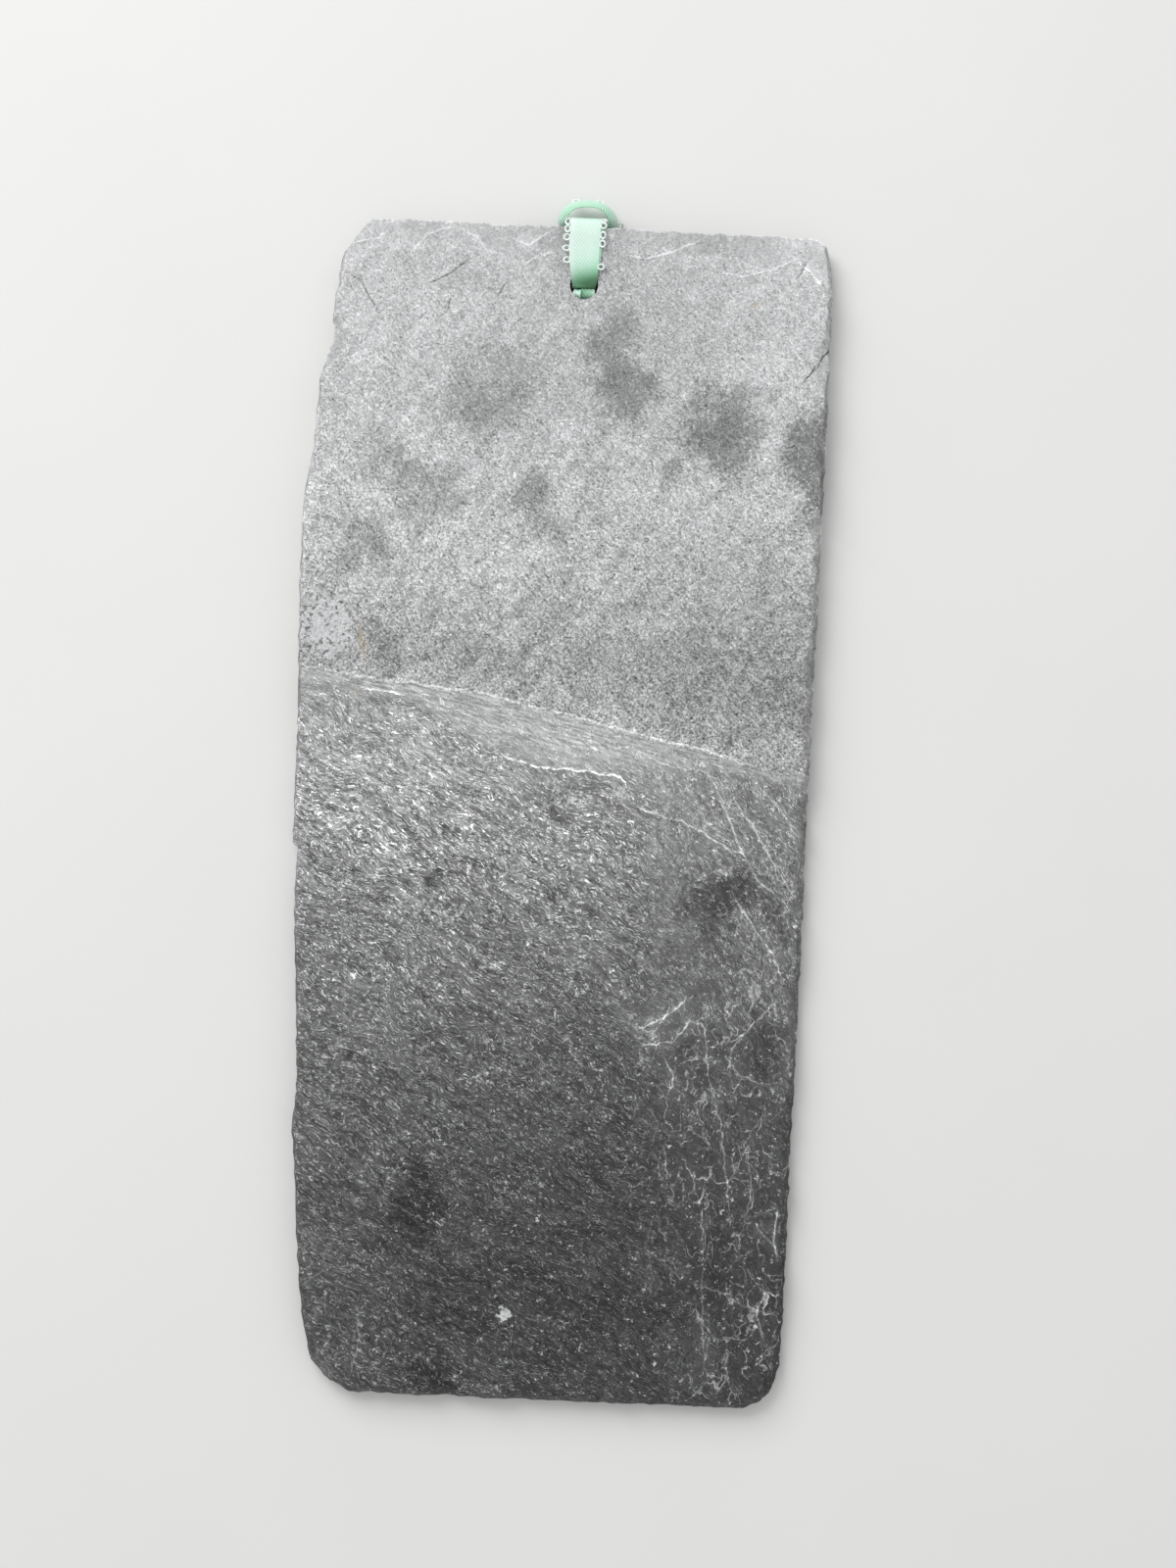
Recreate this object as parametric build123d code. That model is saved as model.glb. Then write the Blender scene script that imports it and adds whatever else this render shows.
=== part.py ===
from build123d import *
import os
from math import atan2, cos, sin, sqrt

os.makedirs("parts", exist_ok=True)

# A small riven roof slate, lying on its underside, with a hanging ribbon hitched through its drilled hole.
# Origin: the hole's line along the slate, halfway down the slate, on the underside.
# +Y runs towards the head edge, +X to the right as the face is looked at, +Z out of the face.

# Slate, in millimetres
length = 250.0
right_reach = 53.0
head_left_reach = 51.9
belly_left_reach = 58.1
waist_left_reach = 56.0
foot_left_reach = 50.6
belly_from_head = 70.0
waist_from_head = 145.0
head_corner_cut = (5.6, 8.5)
head_right_radius = 4.5
foot_right_radius = 9.0
foot_left_radius = 16.0

# Thickness of the three riven sheets, from the head down
head_thickness = 6.5
terrace_drop = 0.9
tail_drop = 0.6

# Crest of the main cleavage ridge: distance right of the hole's line and distance from the head edge,
# with how far the torn slope runs down from it
ridge_crest = (
    (-62.0, 95.2, 4.0),
    (-46.7, 97.2, 2.6),
    (-32.8, 98.5, 2.8),
    (-22.0, 99.5, 5.0),
    (-12.0, 101.2, 13.0),
    (0.0, 103.6, 12.0),
    (15.6, 107.2, 5.0),
    (28.0, 109.5, 2.6),
    (45.1, 114.2, 2.0),
    (60.0, 114.6, 2.0),
)
second_crest = (
    (-62.0, 108.0, 5.0),
    (-40.0, 112.5, 5.0),
    (-11.3, 115.4, 3.0),
    (5.1, 115.6, 1.6),
    (13.0, 117.6, 1.2),
    (16.3, 122.8, 1.2),
    (26.4, 125.5, 2.0),
    (37.0, 131.0, 3.0),
    (60.0, 136.0, 3.0),
)

# Drilled hole
hole_diameter = 6.0
hole_inset = 12.2

# Hollow on the underside, where a flake came away from the hole to the head edge
hollow_depth = 1.5
hollow_half_width = 17.0
hollow_length = 88.0
hollow_slope = 4.0

# Hand-dressed edges: pitch of the flakes, their hollow, and how wide the flaked face is
flake_pitch = 6.4
flake_sagitta = 0.55
side_run = 2.2
foot_run = 2.6
head_run = 1.6
bevel_pitch = 7.0
bevel_sagitta = 0.5
bevel_run = 5.0
bevel_drop = 3.2
flake_reach = 16.0
flake_overlap = 1.15
width_spread = 0.45
depth_spread = 0.4
run_phase = 7
hollow_phase = 3
unevenness = ((0.6, 2.4, 0.0), (0.4, 5.3, 1.0))

# Larger scars, where the trimming took a bigger bite: which side, distance from the head edge, width along
# the edge, depth of the hollow, and how far the broken face runs in
edge_scars = (
    (-1, 27.0, 12.0, 1.5, 3.4),
    (-1, 137.0, 9.0, 0.9, 2.8),
    (1, 30.0, 10.0, 0.7, 3.2),
    (1, 213.0, 13.0, 0.8, 3.6),
)
outline_steps = 1200

# How far a cutting tool starts outside what it cuts
cut_over = 0.5

# Ribbon
ribbon_width = 6.4
ribbon_thickness = 0.3
ribbon_clearance = 0.1
band_offset = -0.2
fold_reach = 2.2
tuck_length = 62.0
throat_room = 0.8
bight_reach = 5.4
bight_half_width = 6.2
bight_flare = 1.9
bight_room = 0.5
leg_width = 2.2

head_y = length / 2
tail_y = -length / 2
hole_y = head_y - hole_inset
tail_thickness = head_thickness - terrace_drop - tail_drop
terrace_thickness = head_thickness - terrace_drop


def uneven(index, spread):
    """A factor near one that wanders from flake to flake without repeating."""
    return 1 + spread * sum(share * sin(rate * index + phase) for share, rate, phase in unevenness)


def slate_outline():
    """The slate in plan: a straight right edge, a bellied left edge and four unlike corners."""
    cut_width, cut_height = head_corner_cut
    cut_top = (-head_left_reach + cut_width, head_y)
    cut_side = (-head_left_reach, head_y - cut_height)
    belly = (-belly_left_reach, head_y - belly_from_head)
    waist = (-waist_left_reach, head_y - waist_from_head)
    foot_left, foot_right = (-foot_left_reach, tail_y), (right_reach, tail_y)
    head_right = (right_reach, head_y)
    face = make_face(
        [
            Line(cut_top, head_right),
            Line(head_right, foot_right),
            Line(foot_right, foot_left),
            Spline(foot_left, waist, belly, cut_side),
            Line(cut_side, cut_top),
        ]
    ).face()
    for corner, radius in (
        (head_right, head_right_radius),
        (foot_right, foot_right_radius),
        (foot_left, foot_left_radius),
    ):
        nearest = face.vertices().sort_by_distance(Vector(*corner))[0]
        face = face.fillet_2d(radius, [nearest])
    return face


def torn_step(crest, top, bottom):
    """The stone missing from the tail side of a cleavage ridge, down from one sheet to the next."""
    grow = cut_over / (top - bottom)
    high = [(x, head_y - down + run * grow) for x, down, run in crest]
    low = [(x, head_y - down - run) for x, down, run in crest]
    sections = []
    for points, z in ((low, bottom), (high, top + cut_over)):
        left, right = points[0], points[-1]
        beyond = tail_y - cut_over
        wire = Wire(
            [
                Spline(*points).edge(),
                Line(right, (right[0], beyond)).edge(),
                Line((right[0], beyond), (left[0], beyond)).edge(),
                Line((left[0], beyond), left).edge(),
            ]
        )
        sections.append(Pos(0, 0, z) * Face(wire))
    return loft(sections, ruled=True)


def underside_hollow():
    """A shallow flake hollow that runs out at the head edge, with a sloping border."""
    beyond = head_y + hollow_slope
    rate = hollow_slope / hollow_depth
    sections = []
    for z, inset in ((-cut_over, -cut_over * rate), (hollow_depth, hollow_slope)):
        half = hollow_half_width - inset
        end = head_y - hollow_length + inset
        shoulder = end + hollow_half_width
        wire = Wire(
            [
                Line((-half, beyond), (-half, shoulder)).edge(),
                ThreePointArc((-half, shoulder), (0, end), (half, shoulder)).edge(),
                Line((half, shoulder), (half, beyond)).edge(),
                Line((half, beyond), (-half, beyond)).edge(),
            ]
        )
        sections.append(Pos(0, 0, z) * Face(wire))
    return loft(sections, ruled=True)


def flake(point, outward, run, drop, pitch, sagitta, top):
    """One conchoidal flute: a round-bottomed groove that falls outwards through the slate's edge."""
    slope = atan2(drop, run)
    radius = pitch**2 / (8 * sagitta)
    down = outward * cos(slope) - Vector(0, 0, 1) * sin(slope)
    away = outward * sin(slope) + Vector(0, 0, 1) * cos(slope)
    valley = Vector(point.X, point.Y, top) - outward * run
    return Plane(origin=valley + away * radius, z_dir=down) * Cylinder(radius, 2 * flake_reach)


def flakes_along(wire, pitch, sagitta, run_at, drop, top_at):
    """Flutes side by side along a wire, each a little wider, deeper or longer than the last."""
    tools, index, along = [], 0, 0.0
    while along < wire.length - pitch / 2:
        width = pitch * uneven(index, width_spread)
        middle = along + width / 2
        point = wire.position_at(middle, position_mode=PositionMode.LENGTH)
        tangent = wire.tangent_at(middle, position_mode=PositionMode.LENGTH)
        outward = Vector(tangent.Y, -tangent.X, 0)
        if outward.dot(Vector(point.X, point.Y, 0)) < 0:
            outward = outward * -1
        run = run_at(point) * uneven(index + run_phase, depth_spread)
        hollow = sagitta * uneven(index + hollow_phase, depth_spread)
        tools.append(flake(point, outward, run, drop, width * flake_overlap, hollow, top_at(point)))
        along += width
        index += 1
    return tools


def edge_place(wire, side, y):
    """The outline's point on one side of the slate, at a height up it."""
    places = [wire.position_at(index / outline_steps) for index in range(outline_steps)]
    return min((place for place in places if place.X * side > 0), key=lambda place: abs(place.Y - y))


def larger_scars(wire):
    """The bigger bites of the trimming, which leave notches in the sides."""
    tools = []
    for side, down, width, hollow, run in edge_scars:
        point = edge_place(wire, side, head_y - down)
        tools.append(flake(point, Vector(side, 0, 0), run, head_thickness, width, hollow, sheet_top(point)))
    return tools


def sheet_top(point):
    """The thickness of the slate at a point of its edge."""
    down = head_y - point.Y
    if down < ridge_crest[0][1]:
        return head_thickness
    return terrace_thickness if down < second_crest[0][1] else tail_thickness


def edge_run(point):
    """How wide the dressed face is on each side of the slate."""
    if point.Y > head_y - head_corner_cut[1] / 2:
        return head_run
    return foot_run if point.Y < tail_y + foot_right_radius / 2 else side_run


def slate_tile():
    """The whole slate: riven sheets, dressed edges, drilled hole and the hollow behind the hole."""
    plan = slate_outline()
    body = extrude(plan, head_thickness)
    body -= torn_step(ridge_crest, head_thickness, terrace_thickness)
    body -= torn_step(second_crest, terrace_thickness, tail_thickness)
    body -= underside_hollow()
    around = plan.outer_wire()
    corner_x = -head_left_reach + head_corner_cut[0]
    head_edge = Wire([Line((corner_x, head_y), (right_reach, head_y)).edge()])
    tools = flakes_along(around, flake_pitch, flake_sagitta, edge_run, head_thickness, sheet_top)
    tools += flakes_along(
        head_edge, bevel_pitch, bevel_sagitta, lambda _: bevel_run, bevel_drop, sheet_top
    )
    tools += larger_scars(around)
    body = body.cut(*tools)
    drill = Pos(0, hole_y, head_thickness / 2) * Cylinder(hole_diameter / 2, 2 * head_thickness)
    return (body - drill).solids().sort_by(SortBy.VOLUME)[-1]


def doubled_band(bottom, throat_y):
    """The two strands, one on the other: over the hole, round the head edge and away underneath."""
    double = 2 * ribbon_thickness
    top = head_thickness
    outer = (top + double - bottom) / 2
    inner = outer - double
    middle_z = bottom + outer
    fold_y = head_y + fold_reach - outer
    end_y = head_y - tuck_length
    profile = make_face(
        [
            Line((throat_y, top), (fold_y, top)),
            ThreePointArc((fold_y, top), (fold_y + inner, middle_z), (fold_y, bottom + double)),
            Line((fold_y, bottom + double), (end_y, bottom + double)),
            Line((end_y, bottom + double), (end_y, bottom)),
            Line((end_y, bottom), (fold_y, bottom)),
            ThreePointArc((fold_y, bottom), (fold_y + outer, middle_z), (fold_y, top + double)),
            Line((fold_y, top + double), (throat_y, top + double)),
            Line((throat_y, top + double), (throat_y, top)),
        ]
    )
    return extrude(Plane.YZ.offset(band_offset - ribbon_width / 2) * profile, ribbon_width)


def bight_outline(inset, z):
    """The bight in plan at one height, closed by a straight line along the head edge."""
    foot_y = head_y + bight_room
    half = bight_half_width - inset
    crown = (0, head_y + bight_reach - inset)
    left, right = (-half, foot_y), (half, foot_y)
    face = make_face([Line(left, right), ThreePointArc(left, crown, right)]).face()
    return Pos(0, 0, z) * face


def bight(bottom):
    """The standing bight: a strip on its edge, flared like a funnel, that the strands pass through."""
    top = bottom + ribbon_width - ribbon_thickness
    solid = loft([bight_outline(bight_flare, bottom), bight_outline(0, top)], ruled=True)
    hollow = loft(
        [
            bight_outline(bight_flare + ribbon_thickness, bottom),
            bight_outline(ribbon_thickness, top),
        ],
        ruled=True,
    )
    return solid - hollow


def leg(side, z, throat_y):
    """A gathered leg of the bight, under the slate from the head edge to the hole."""
    foot_y = head_y + bight_room + ribbon_thickness
    outer = bight_half_width - bight_flare
    outline = Polygon(
        (side * outer, foot_y),
        (side * (outer - leg_width), foot_y),
        (0, throat_y),
        (side * leg_width, throat_y),
        align=None,
    )
    return Pos(0, 0, z) * extrude(outline, ribbon_thickness)


def hanging_ribbon():
    """The doubled ribbon: out of the hole, over the head edge, through its own bight and underneath."""
    double = 2 * ribbon_thickness
    bottom = ribbon_clearance
    leg_z = bottom + double
    throat_width = hole_diameter - 2 * throat_room
    hole_radius = hole_diameter / 2 - ribbon_clearance
    reach = sqrt(hole_radius**2 - (throat_width / 2 + abs(band_offset)) ** 2)
    throat_y = hole_y + reach - double
    throat = Pos(band_offset, throat_y + double / 2, (leg_z + head_thickness + double) / 2) * Box(
        throat_width, double, head_thickness + double - leg_z
    )
    legs = [leg(side, leg_z, throat_y) for side in (-1, 1)]
    return doubled_band(bottom, throat_y) + throat + legs + bight(bottom)


slate = slate_tile()
ribbon = hanging_ribbon()
export_step(slate, "parts/slate_tile.step")
export_step(ribbon, "parts/hanging_ribbon.step")
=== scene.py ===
"""A small riven roof slate with a picot ribbon hitched through its nail hole.

The slate lies on its underside. Lengths inside the classes are millimetres and become metres in the mesh:
+Y runs to the head edge, +X to the right as the face is looked at, +Z out of the face.
"""

import logging
import math
from dataclasses import dataclass, field, replace
from enum import Enum
from typing import Callable, Optional, Sequence, Union

import bpy
import numpy as np
from mathutils import Matrix, Vector


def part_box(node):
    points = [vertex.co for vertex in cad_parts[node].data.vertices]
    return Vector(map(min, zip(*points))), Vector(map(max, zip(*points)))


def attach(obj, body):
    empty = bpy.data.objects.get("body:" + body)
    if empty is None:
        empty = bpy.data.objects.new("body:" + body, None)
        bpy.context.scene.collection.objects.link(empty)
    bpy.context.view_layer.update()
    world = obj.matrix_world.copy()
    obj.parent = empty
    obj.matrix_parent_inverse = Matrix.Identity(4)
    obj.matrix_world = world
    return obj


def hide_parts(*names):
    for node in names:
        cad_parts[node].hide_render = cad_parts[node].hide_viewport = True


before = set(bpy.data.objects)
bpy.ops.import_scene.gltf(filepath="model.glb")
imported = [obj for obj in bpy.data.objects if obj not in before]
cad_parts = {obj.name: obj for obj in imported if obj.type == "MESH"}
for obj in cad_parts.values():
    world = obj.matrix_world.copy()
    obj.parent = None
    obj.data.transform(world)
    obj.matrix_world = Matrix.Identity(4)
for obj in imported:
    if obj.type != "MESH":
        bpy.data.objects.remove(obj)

LOG = logging.getLogger("roof_slate")
MM = 0.001
BODY = "root"
GAMMA = 2.2
WEAVE = "weave"
WALL_TILT = (0.7, 0.35)
LIP_POWER = 1.9
PATCH_END = 1.35
WAVES_A_BAND = 20.0
CROWD_STEPS = 2001

Point = tuple[float, float]
Triple = tuple[float, float, float]
Socket = bpy.types.NodeSocket
Input = Union[float, Socket]


class Side(Enum):
    """The four dressed sides of the slate, clockwise from the head."""

    HEAD = "head"
    RIGHT = "right"
    FOOT = "foot"
    LEFT = "left"


def deselect_all() -> None:
    """Leave nothing selected, so that the next operator acts on the new primitive alone."""
    if bpy.context.object is not None and bpy.context.object.mode != "OBJECT":
        bpy.ops.object.mode_set(mode="OBJECT")
    bpy.ops.object.select_all(action="DESELECT")


def vertex_places(obj: bpy.types.Object) -> np.ndarray:
    """Read every vertex of a mesh.

    Args:
        obj: A mesh object that sits at the origin.

    Returns:
        The vertices in millimetres, one row each.
    """
    flat = np.empty(len(obj.data.vertices) * 3)
    obj.data.vertices.foreach_get("co", flat)
    return flat.reshape(-1, 3) / MM


def move_vertices(obj: bpy.types.Object, places: np.ndarray) -> None:
    """Write every vertex of a mesh back.

    Args:
        obj: A mesh object that sits at the origin.
        places: The new places in millimetres, one row each.
    """
    obj.data.vertices.foreach_set("co", (places * MM).ravel())
    obj.data.update()


def write_attribute(obj: bpy.types.Object, name: str, values: np.ndarray) -> None:
    """Store one number for each vertex, for a material to read.

    Args:
        obj: The mesh object.
        name: The attribute's name.
        values: One value for each vertex.
    """
    layer = obj.data.attributes.new(name, "FLOAT", "POINT")
    layer.data.foreach_set("value", np.ascontiguousarray(values, dtype=np.float32))


def apply_modifier(obj: bpy.types.Object, kind: str, **settings: object) -> None:
    """Add a modifier and apply it.

    Args:
        obj: The object that it finishes.
        kind: The modifier's type.
        **settings: Values of the modifier's own properties.
    """
    deselect_all()
    obj.select_set(True)
    bpy.context.view_layer.objects.active = obj
    modifier = obj.modifiers.new(kind.title(), kind)
    for name, value in settings.items():
        setattr(modifier, name, value)
    bpy.ops.object.modifier_apply(modifier=modifier.name)


def outward_normals(obj: bpy.types.Object) -> None:
    """Turn every face of a closed mesh outwards.

    Args:
        obj: The mesh object.
    """
    deselect_all()
    bpy.context.view_layer.objects.active = obj
    obj.select_set(True)
    bpy.ops.object.mode_set(mode="EDIT")
    bpy.ops.mesh.select_all(action="SELECT")
    bpy.ops.mesh.normals_make_consistent(inside=False)
    bpy.ops.object.mode_set(mode="OBJECT")


def smooth_between(value: np.ndarray, low: float, high: float) -> np.ndarray:
    """Ease from 0 at low to 1 at high.

    Args:
        value: What is eased.
        low: The value that gives 0.
        high: The value that gives 1, which may be the lower of the two.

    Returns:
        The eased values.
    """
    share = np.clip((value - low) / (high - low), 0.0, 1.0)
    return share * share * (3.0 - 2.0 * share)


def along_points(value: np.ndarray, points: Sequence[Point]) -> np.ndarray:
    """Read a height off a run of points.

    Args:
        value: Where to read, as first coordinates.
        points: The points, from the lowest first coordinate up.

    Returns:
        The second coordinate at each value.
    """
    firsts, seconds = zip(*points)
    return np.interp(value, firsts, seconds)


@dataclass(frozen=True)
class Grain:
    """One noise pattern in the stone.

    Attributes:
        scale: How many features fit in a millimetre.
        levels: The two levels that it is eased between, or none where it stays as it is.
        gain: How strongly it counts.
        middle: The value that counts as nothing.
        detail: Octaves of finer noise.
        rough: How strong the finer octaves are.
        bend: How far it is distorted.
        turn: How far it is turned, in degrees.
        stretch: How far it is squeezed along each axis.
    """

    scale: float
    levels: tuple[float, ...] = ()
    gain: float = 1.0
    middle: float = 0.0
    detail: float = 3.0
    rough: float = 0.7
    bend: float = 0.0
    turn: float = 0.0
    stretch: Triple = (1.0, 1.0, 1.0)


@dataclass(frozen=True)
class Web:
    """Thin winding lines along a noise's middle level.

    Attributes:
        scale: The noise's scale.
        reach: How near the middle level a line ends.
        gain: How strong the lines are.
        bend: How far the noise is distorted.
        detail: How many octaves it has.
        rough: How strong its finer octaves are.
        core: The share of the reach that is full line.
    """

    scale: float
    reach: float
    gain: float
    bend: float = 0.0
    detail: float = 2.5
    rough: float = 0.55
    core: float = 0.15


@dataclass(frozen=True)
class Drift:
    """A slow wandering of a pattern: its scale, its reach in millimetres, its octaves and their roughness."""

    scale: float
    reach: float
    detail: float = 3.0
    rough: float = 0.5


class NodeSheet:
    """A material's node tree, written as a chain of short calls."""

    def __init__(self, name: str) -> None:
        """Start an empty principled material.

        Args:
            name: The material's name.
        """
        self.material = bpy.data.materials.new(name)
        self.material.use_nodes = True
        self.tree = self.material.node_tree
        self.shader = self.tree.nodes["Principled BSDF"]

    def put(self, node: bpy.types.Node, socket: Union[str, int], value: object) -> None:
        """Link a socket or set its value.

        Args:
            node: The node.
            socket: Its input, by name or number.
            value: Another node's output, or a plain value.
        """
        if isinstance(value, Socket):
            self.tree.links.new(value, node.inputs[socket])
        else:
            node.inputs[socket].default_value = value

    def millimetres(self) -> Socket:
        """Give the place on the object in millimetres."""
        place = self.tree.nodes.new("ShaderNodeTexCoord").outputs["Object"]
        return self.stretched(place, (1 / MM, 1 / MM, 1 / MM))

    def stretched(self, vector: Socket, factors: Triple) -> Socket:
        """Multiply a vector by one factor for each axis."""
        return self.vector_calc("MULTIPLY", vector, factors)

    def turned(self, vector: Socket, degrees: float) -> Socket:
        """Turn a vector about the axis that stands on the slate.

        Args:
            vector: The vector.
            degrees: How far it is turned.

        Returns:
            The turned vector's socket.
        """
        node = self.tree.nodes.new("ShaderNodeMapping")
        self.put(node, "Vector", vector)
        self.put(node, "Rotation", (0.0, 0.0, math.radians(degrees)))
        return node.outputs[0]

    def vector_calc(self, operation: str, first: object, second: object) -> Socket:
        """Add a vector math node.

        Args:
            operation: The node's operation.
            first: Its first vector.
            second: Its second vector.

        Returns:
            The result's socket.
        """
        node = self.tree.nodes.new("ShaderNodeVectorMath")
        node.operation = operation
        self.put(node, 0, first)
        self.put(node, 1, second)
        return node.outputs[0]

    def drifted(self, vector: Socket, place: Socket, *drifts: Drift) -> Socket:
        """Let a vector wander in the slate's plane.

        Args:
            vector: The vector.
            place: Where the drifts are read.
            *drifts: How it wanders.

        Returns:
            The wandering vector's socket.
        """
        for drift in drifts:
            noise = self.noise(place, drift.scale, drift.detail, drift.rough, colour=True)
            way = self.vector_calc("SUBTRACT", noise, (0.5, 0.5, 0.5))
            vector = self.vector_calc("ADD", vector, self.stretched(way, (drift.reach, drift.reach, 0.0)))
        return vector

    def noise(
        self, vector: Socket, scale: float, detail: float, rough: float, bend: float = 0.0,
        colour: bool = False,
    ) -> Socket:
        """Add a noise pattern.

        Args:
            vector: Where the pattern is read.
            scale: How many features fit in one unit of the vector.
            detail: Octaves of finer noise.
            rough: How strong the finer octaves are.
            bend: How far the pattern is distorted.
            colour: Whether three values are wanted instead of one.

        Returns:
            The pattern's output socket.
        """
        node = self.tree.nodes.new("ShaderNodeTexNoise")
        for socket, value in (
            ("Vector", vector), ("Scale", scale), ("Detail", detail), ("Roughness", rough),
            ("Distortion", bend),
        ):
            self.put(node, socket, value)
        return node.outputs["Color" if colour else "Fac"]

    def attribute(self, name: str) -> Socket:
        """Read a vertex attribute as one number."""
        node = self.tree.nodes.new("ShaderNodeAttribute")
        node.attribute_name = name
        return node.outputs["Fac"]

    def calc(self, operation: str, first: Input, second: Input = 0.0) -> Socket:
        """Add a math node.

        Args:
            operation: The node's operation.
            first: Its first operand.
            second: Its second operand.

        Returns:
            The result's socket.
        """
        node = self.tree.nodes.new("ShaderNodeMath")
        node.operation = operation
        self.put(node, 0, first)
        self.put(node, 1, second)
        return node.outputs[0]

    def product(self, *factors: Input) -> Socket:
        """Multiply several values together.

        Args:
            *factors: The values.

        Returns:
            The product.
        """
        result = factors[0]
        for factor in factors[1:]:
            result = self.calc("MULTIPLY", result, factor)
        return result

    def total(self, *terms: Input) -> Socket:
        """Add several values up.

        Args:
            *terms: The values.

        Returns:
            The total.
        """
        result = terms[0]
        for term in terms[1:]:
            result = self.calc("ADD", result, term)
        return result

    def rest(self, share: Input) -> Socket:
        """Give what a share leaves of one."""
        return self.calc("SUBTRACT", 1.0, share)

    def fade(self, value: Input, low: float, high: float) -> Socket:
        """Ease a value from 0 at low to 1 at high.

        Args:
            value: What is eased.
            low: The value that gives 0.
            high: The value that gives 1, which may be the lower of the two.

        Returns:
            The eased value's socket.
        """
        node = self.tree.nodes.new("ShaderNodeMapRange")
        node.interpolation_type = "SMOOTHSTEP"
        turned = low > high
        for socket, number in (
            ("Value", value),
            ("From Min", min(low, high)), ("From Max", max(low, high)),
            ("To Min", 1.0 if turned else 0.0), ("To Max", 0.0 if turned else 1.0),
        ):
            self.put(node, socket, number)
        return node.outputs[0]

    def grain(self, place: Socket, grain: Grain) -> Socket:
        """Lay one of the stone's patterns.

        Args:
            place: Where the pattern is read.
            grain: The pattern.

        Returns:
            The pattern's socket.
        """
        if grain.turn:
            place = self.turned(place, grain.turn)
        if grain.stretch != (1.0, 1.0, 1.0):
            place = self.stretched(place, grain.stretch)
        value = self.noise(place, grain.scale, grain.detail, grain.rough, grain.bend)
        if grain.levels:
            value = self.fade(value, *grain.levels)
        if grain.middle:
            value = self.calc("SUBTRACT", value, grain.middle)
        return self.product(value, grain.gain)

    def web(self, place: Socket, web: Web) -> Socket:
        """Draw thin winding lines along the middle level of a noise pattern.

        Args:
            place: Where the pattern is read.
            web: The lines.

        Returns:
            How strongly a line shows at each place.
        """
        level = self.calc("SUBTRACT", self.noise(place, web.scale, web.detail, web.rough, web.bend), 0.5)
        line = self.fade(self.calc("ABSOLUTE", level), web.reach, web.core * web.reach)
        return self.product(line, web.gain)

    def upright(self) -> Socket:
        """Give where the surface stands upright, on the edges and in the hole.

        Returns:
            The share's socket, 0 on the faces and 1 on a wall.
        """
        split = self.tree.nodes.new("ShaderNodeSeparateXYZ")
        self.put(split, 0, self.tree.nodes.new("ShaderNodeTexCoord").outputs["Normal"])
        return self.fade(self.calc("ABSOLUTE", split.outputs[2]), *WALL_TILT)

    def mixed(self, share: Input, first: Input, second: Input) -> Socket:
        """Pass from a first value to a second as the share goes from 0 to 1."""
        return self.total(self.product(first, self.rest(share)), self.product(second, share))

    def blend(self, share: Input, first: object, second: object) -> Socket:
        """Mix two colours.

        Args:
            share: How much of the second shows.
            first: A colour or a socket.
            second: A colour or a socket.

        Returns:
            The mixed colour's socket.
        """
        node = self.tree.nodes.new("ShaderNodeMix")
        node.data_type = "RGBA"
        self.put(node, 0, share)
        self.put(node, 6, first)
        self.put(node, 7, second)
        return node.outputs[2]

    def written(self, colour: Socket) -> Socket:
        """Turn a colour from the values it shows at into the values it reflects.

        Args:
            colour: The colour as it shows.

        Returns:
            The colour as the shader wants it.
        """
        node = self.tree.nodes.new("ShaderNodeGamma")
        self.put(node, "Color", colour)
        self.put(node, "Gamma", GAMMA)
        return node.outputs[0]

    def relief(self, height: Socket, depth: float, under: Optional[Socket] = None) -> Socket:
        """Add a bump.

        Args:
            height: The pattern, 0 low and 1 high.
            depth: How far high stands over low, in millimetres.
            under: A coarser bump that this one lies on.

        Returns:
            The normal's socket.
        """
        node = self.tree.nodes.new("ShaderNodeBump")
        self.put(node, "Height", height)
        self.put(node, "Strength", 1.0)
        self.put(node, "Distance", depth * MM)
        if under is not None:
            self.put(node, "Normal", under)
        return node.outputs[0]


@dataclass(frozen=True)
class LineStyle:
    """How one group of lines is drawn on the slate.

    Attributes:
        half_width: Half the line's width, in millimetres.
        waver: How far the line winds about its own run, in millimetres.
        halo: How strongly the stone beside the line is tinted.
        broken: How much of the line the gaps take away.
        gain: How strongly the line itself shows.
        relief: How high it stands, or lies below 0.
    """

    half_width: float
    waver: float
    halo: float
    broken: float
    gain: float
    relief: float


VEIN = LineStyle(0.34, 1.1, 0.15, 0.6, 1.55, 1.0)


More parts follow.
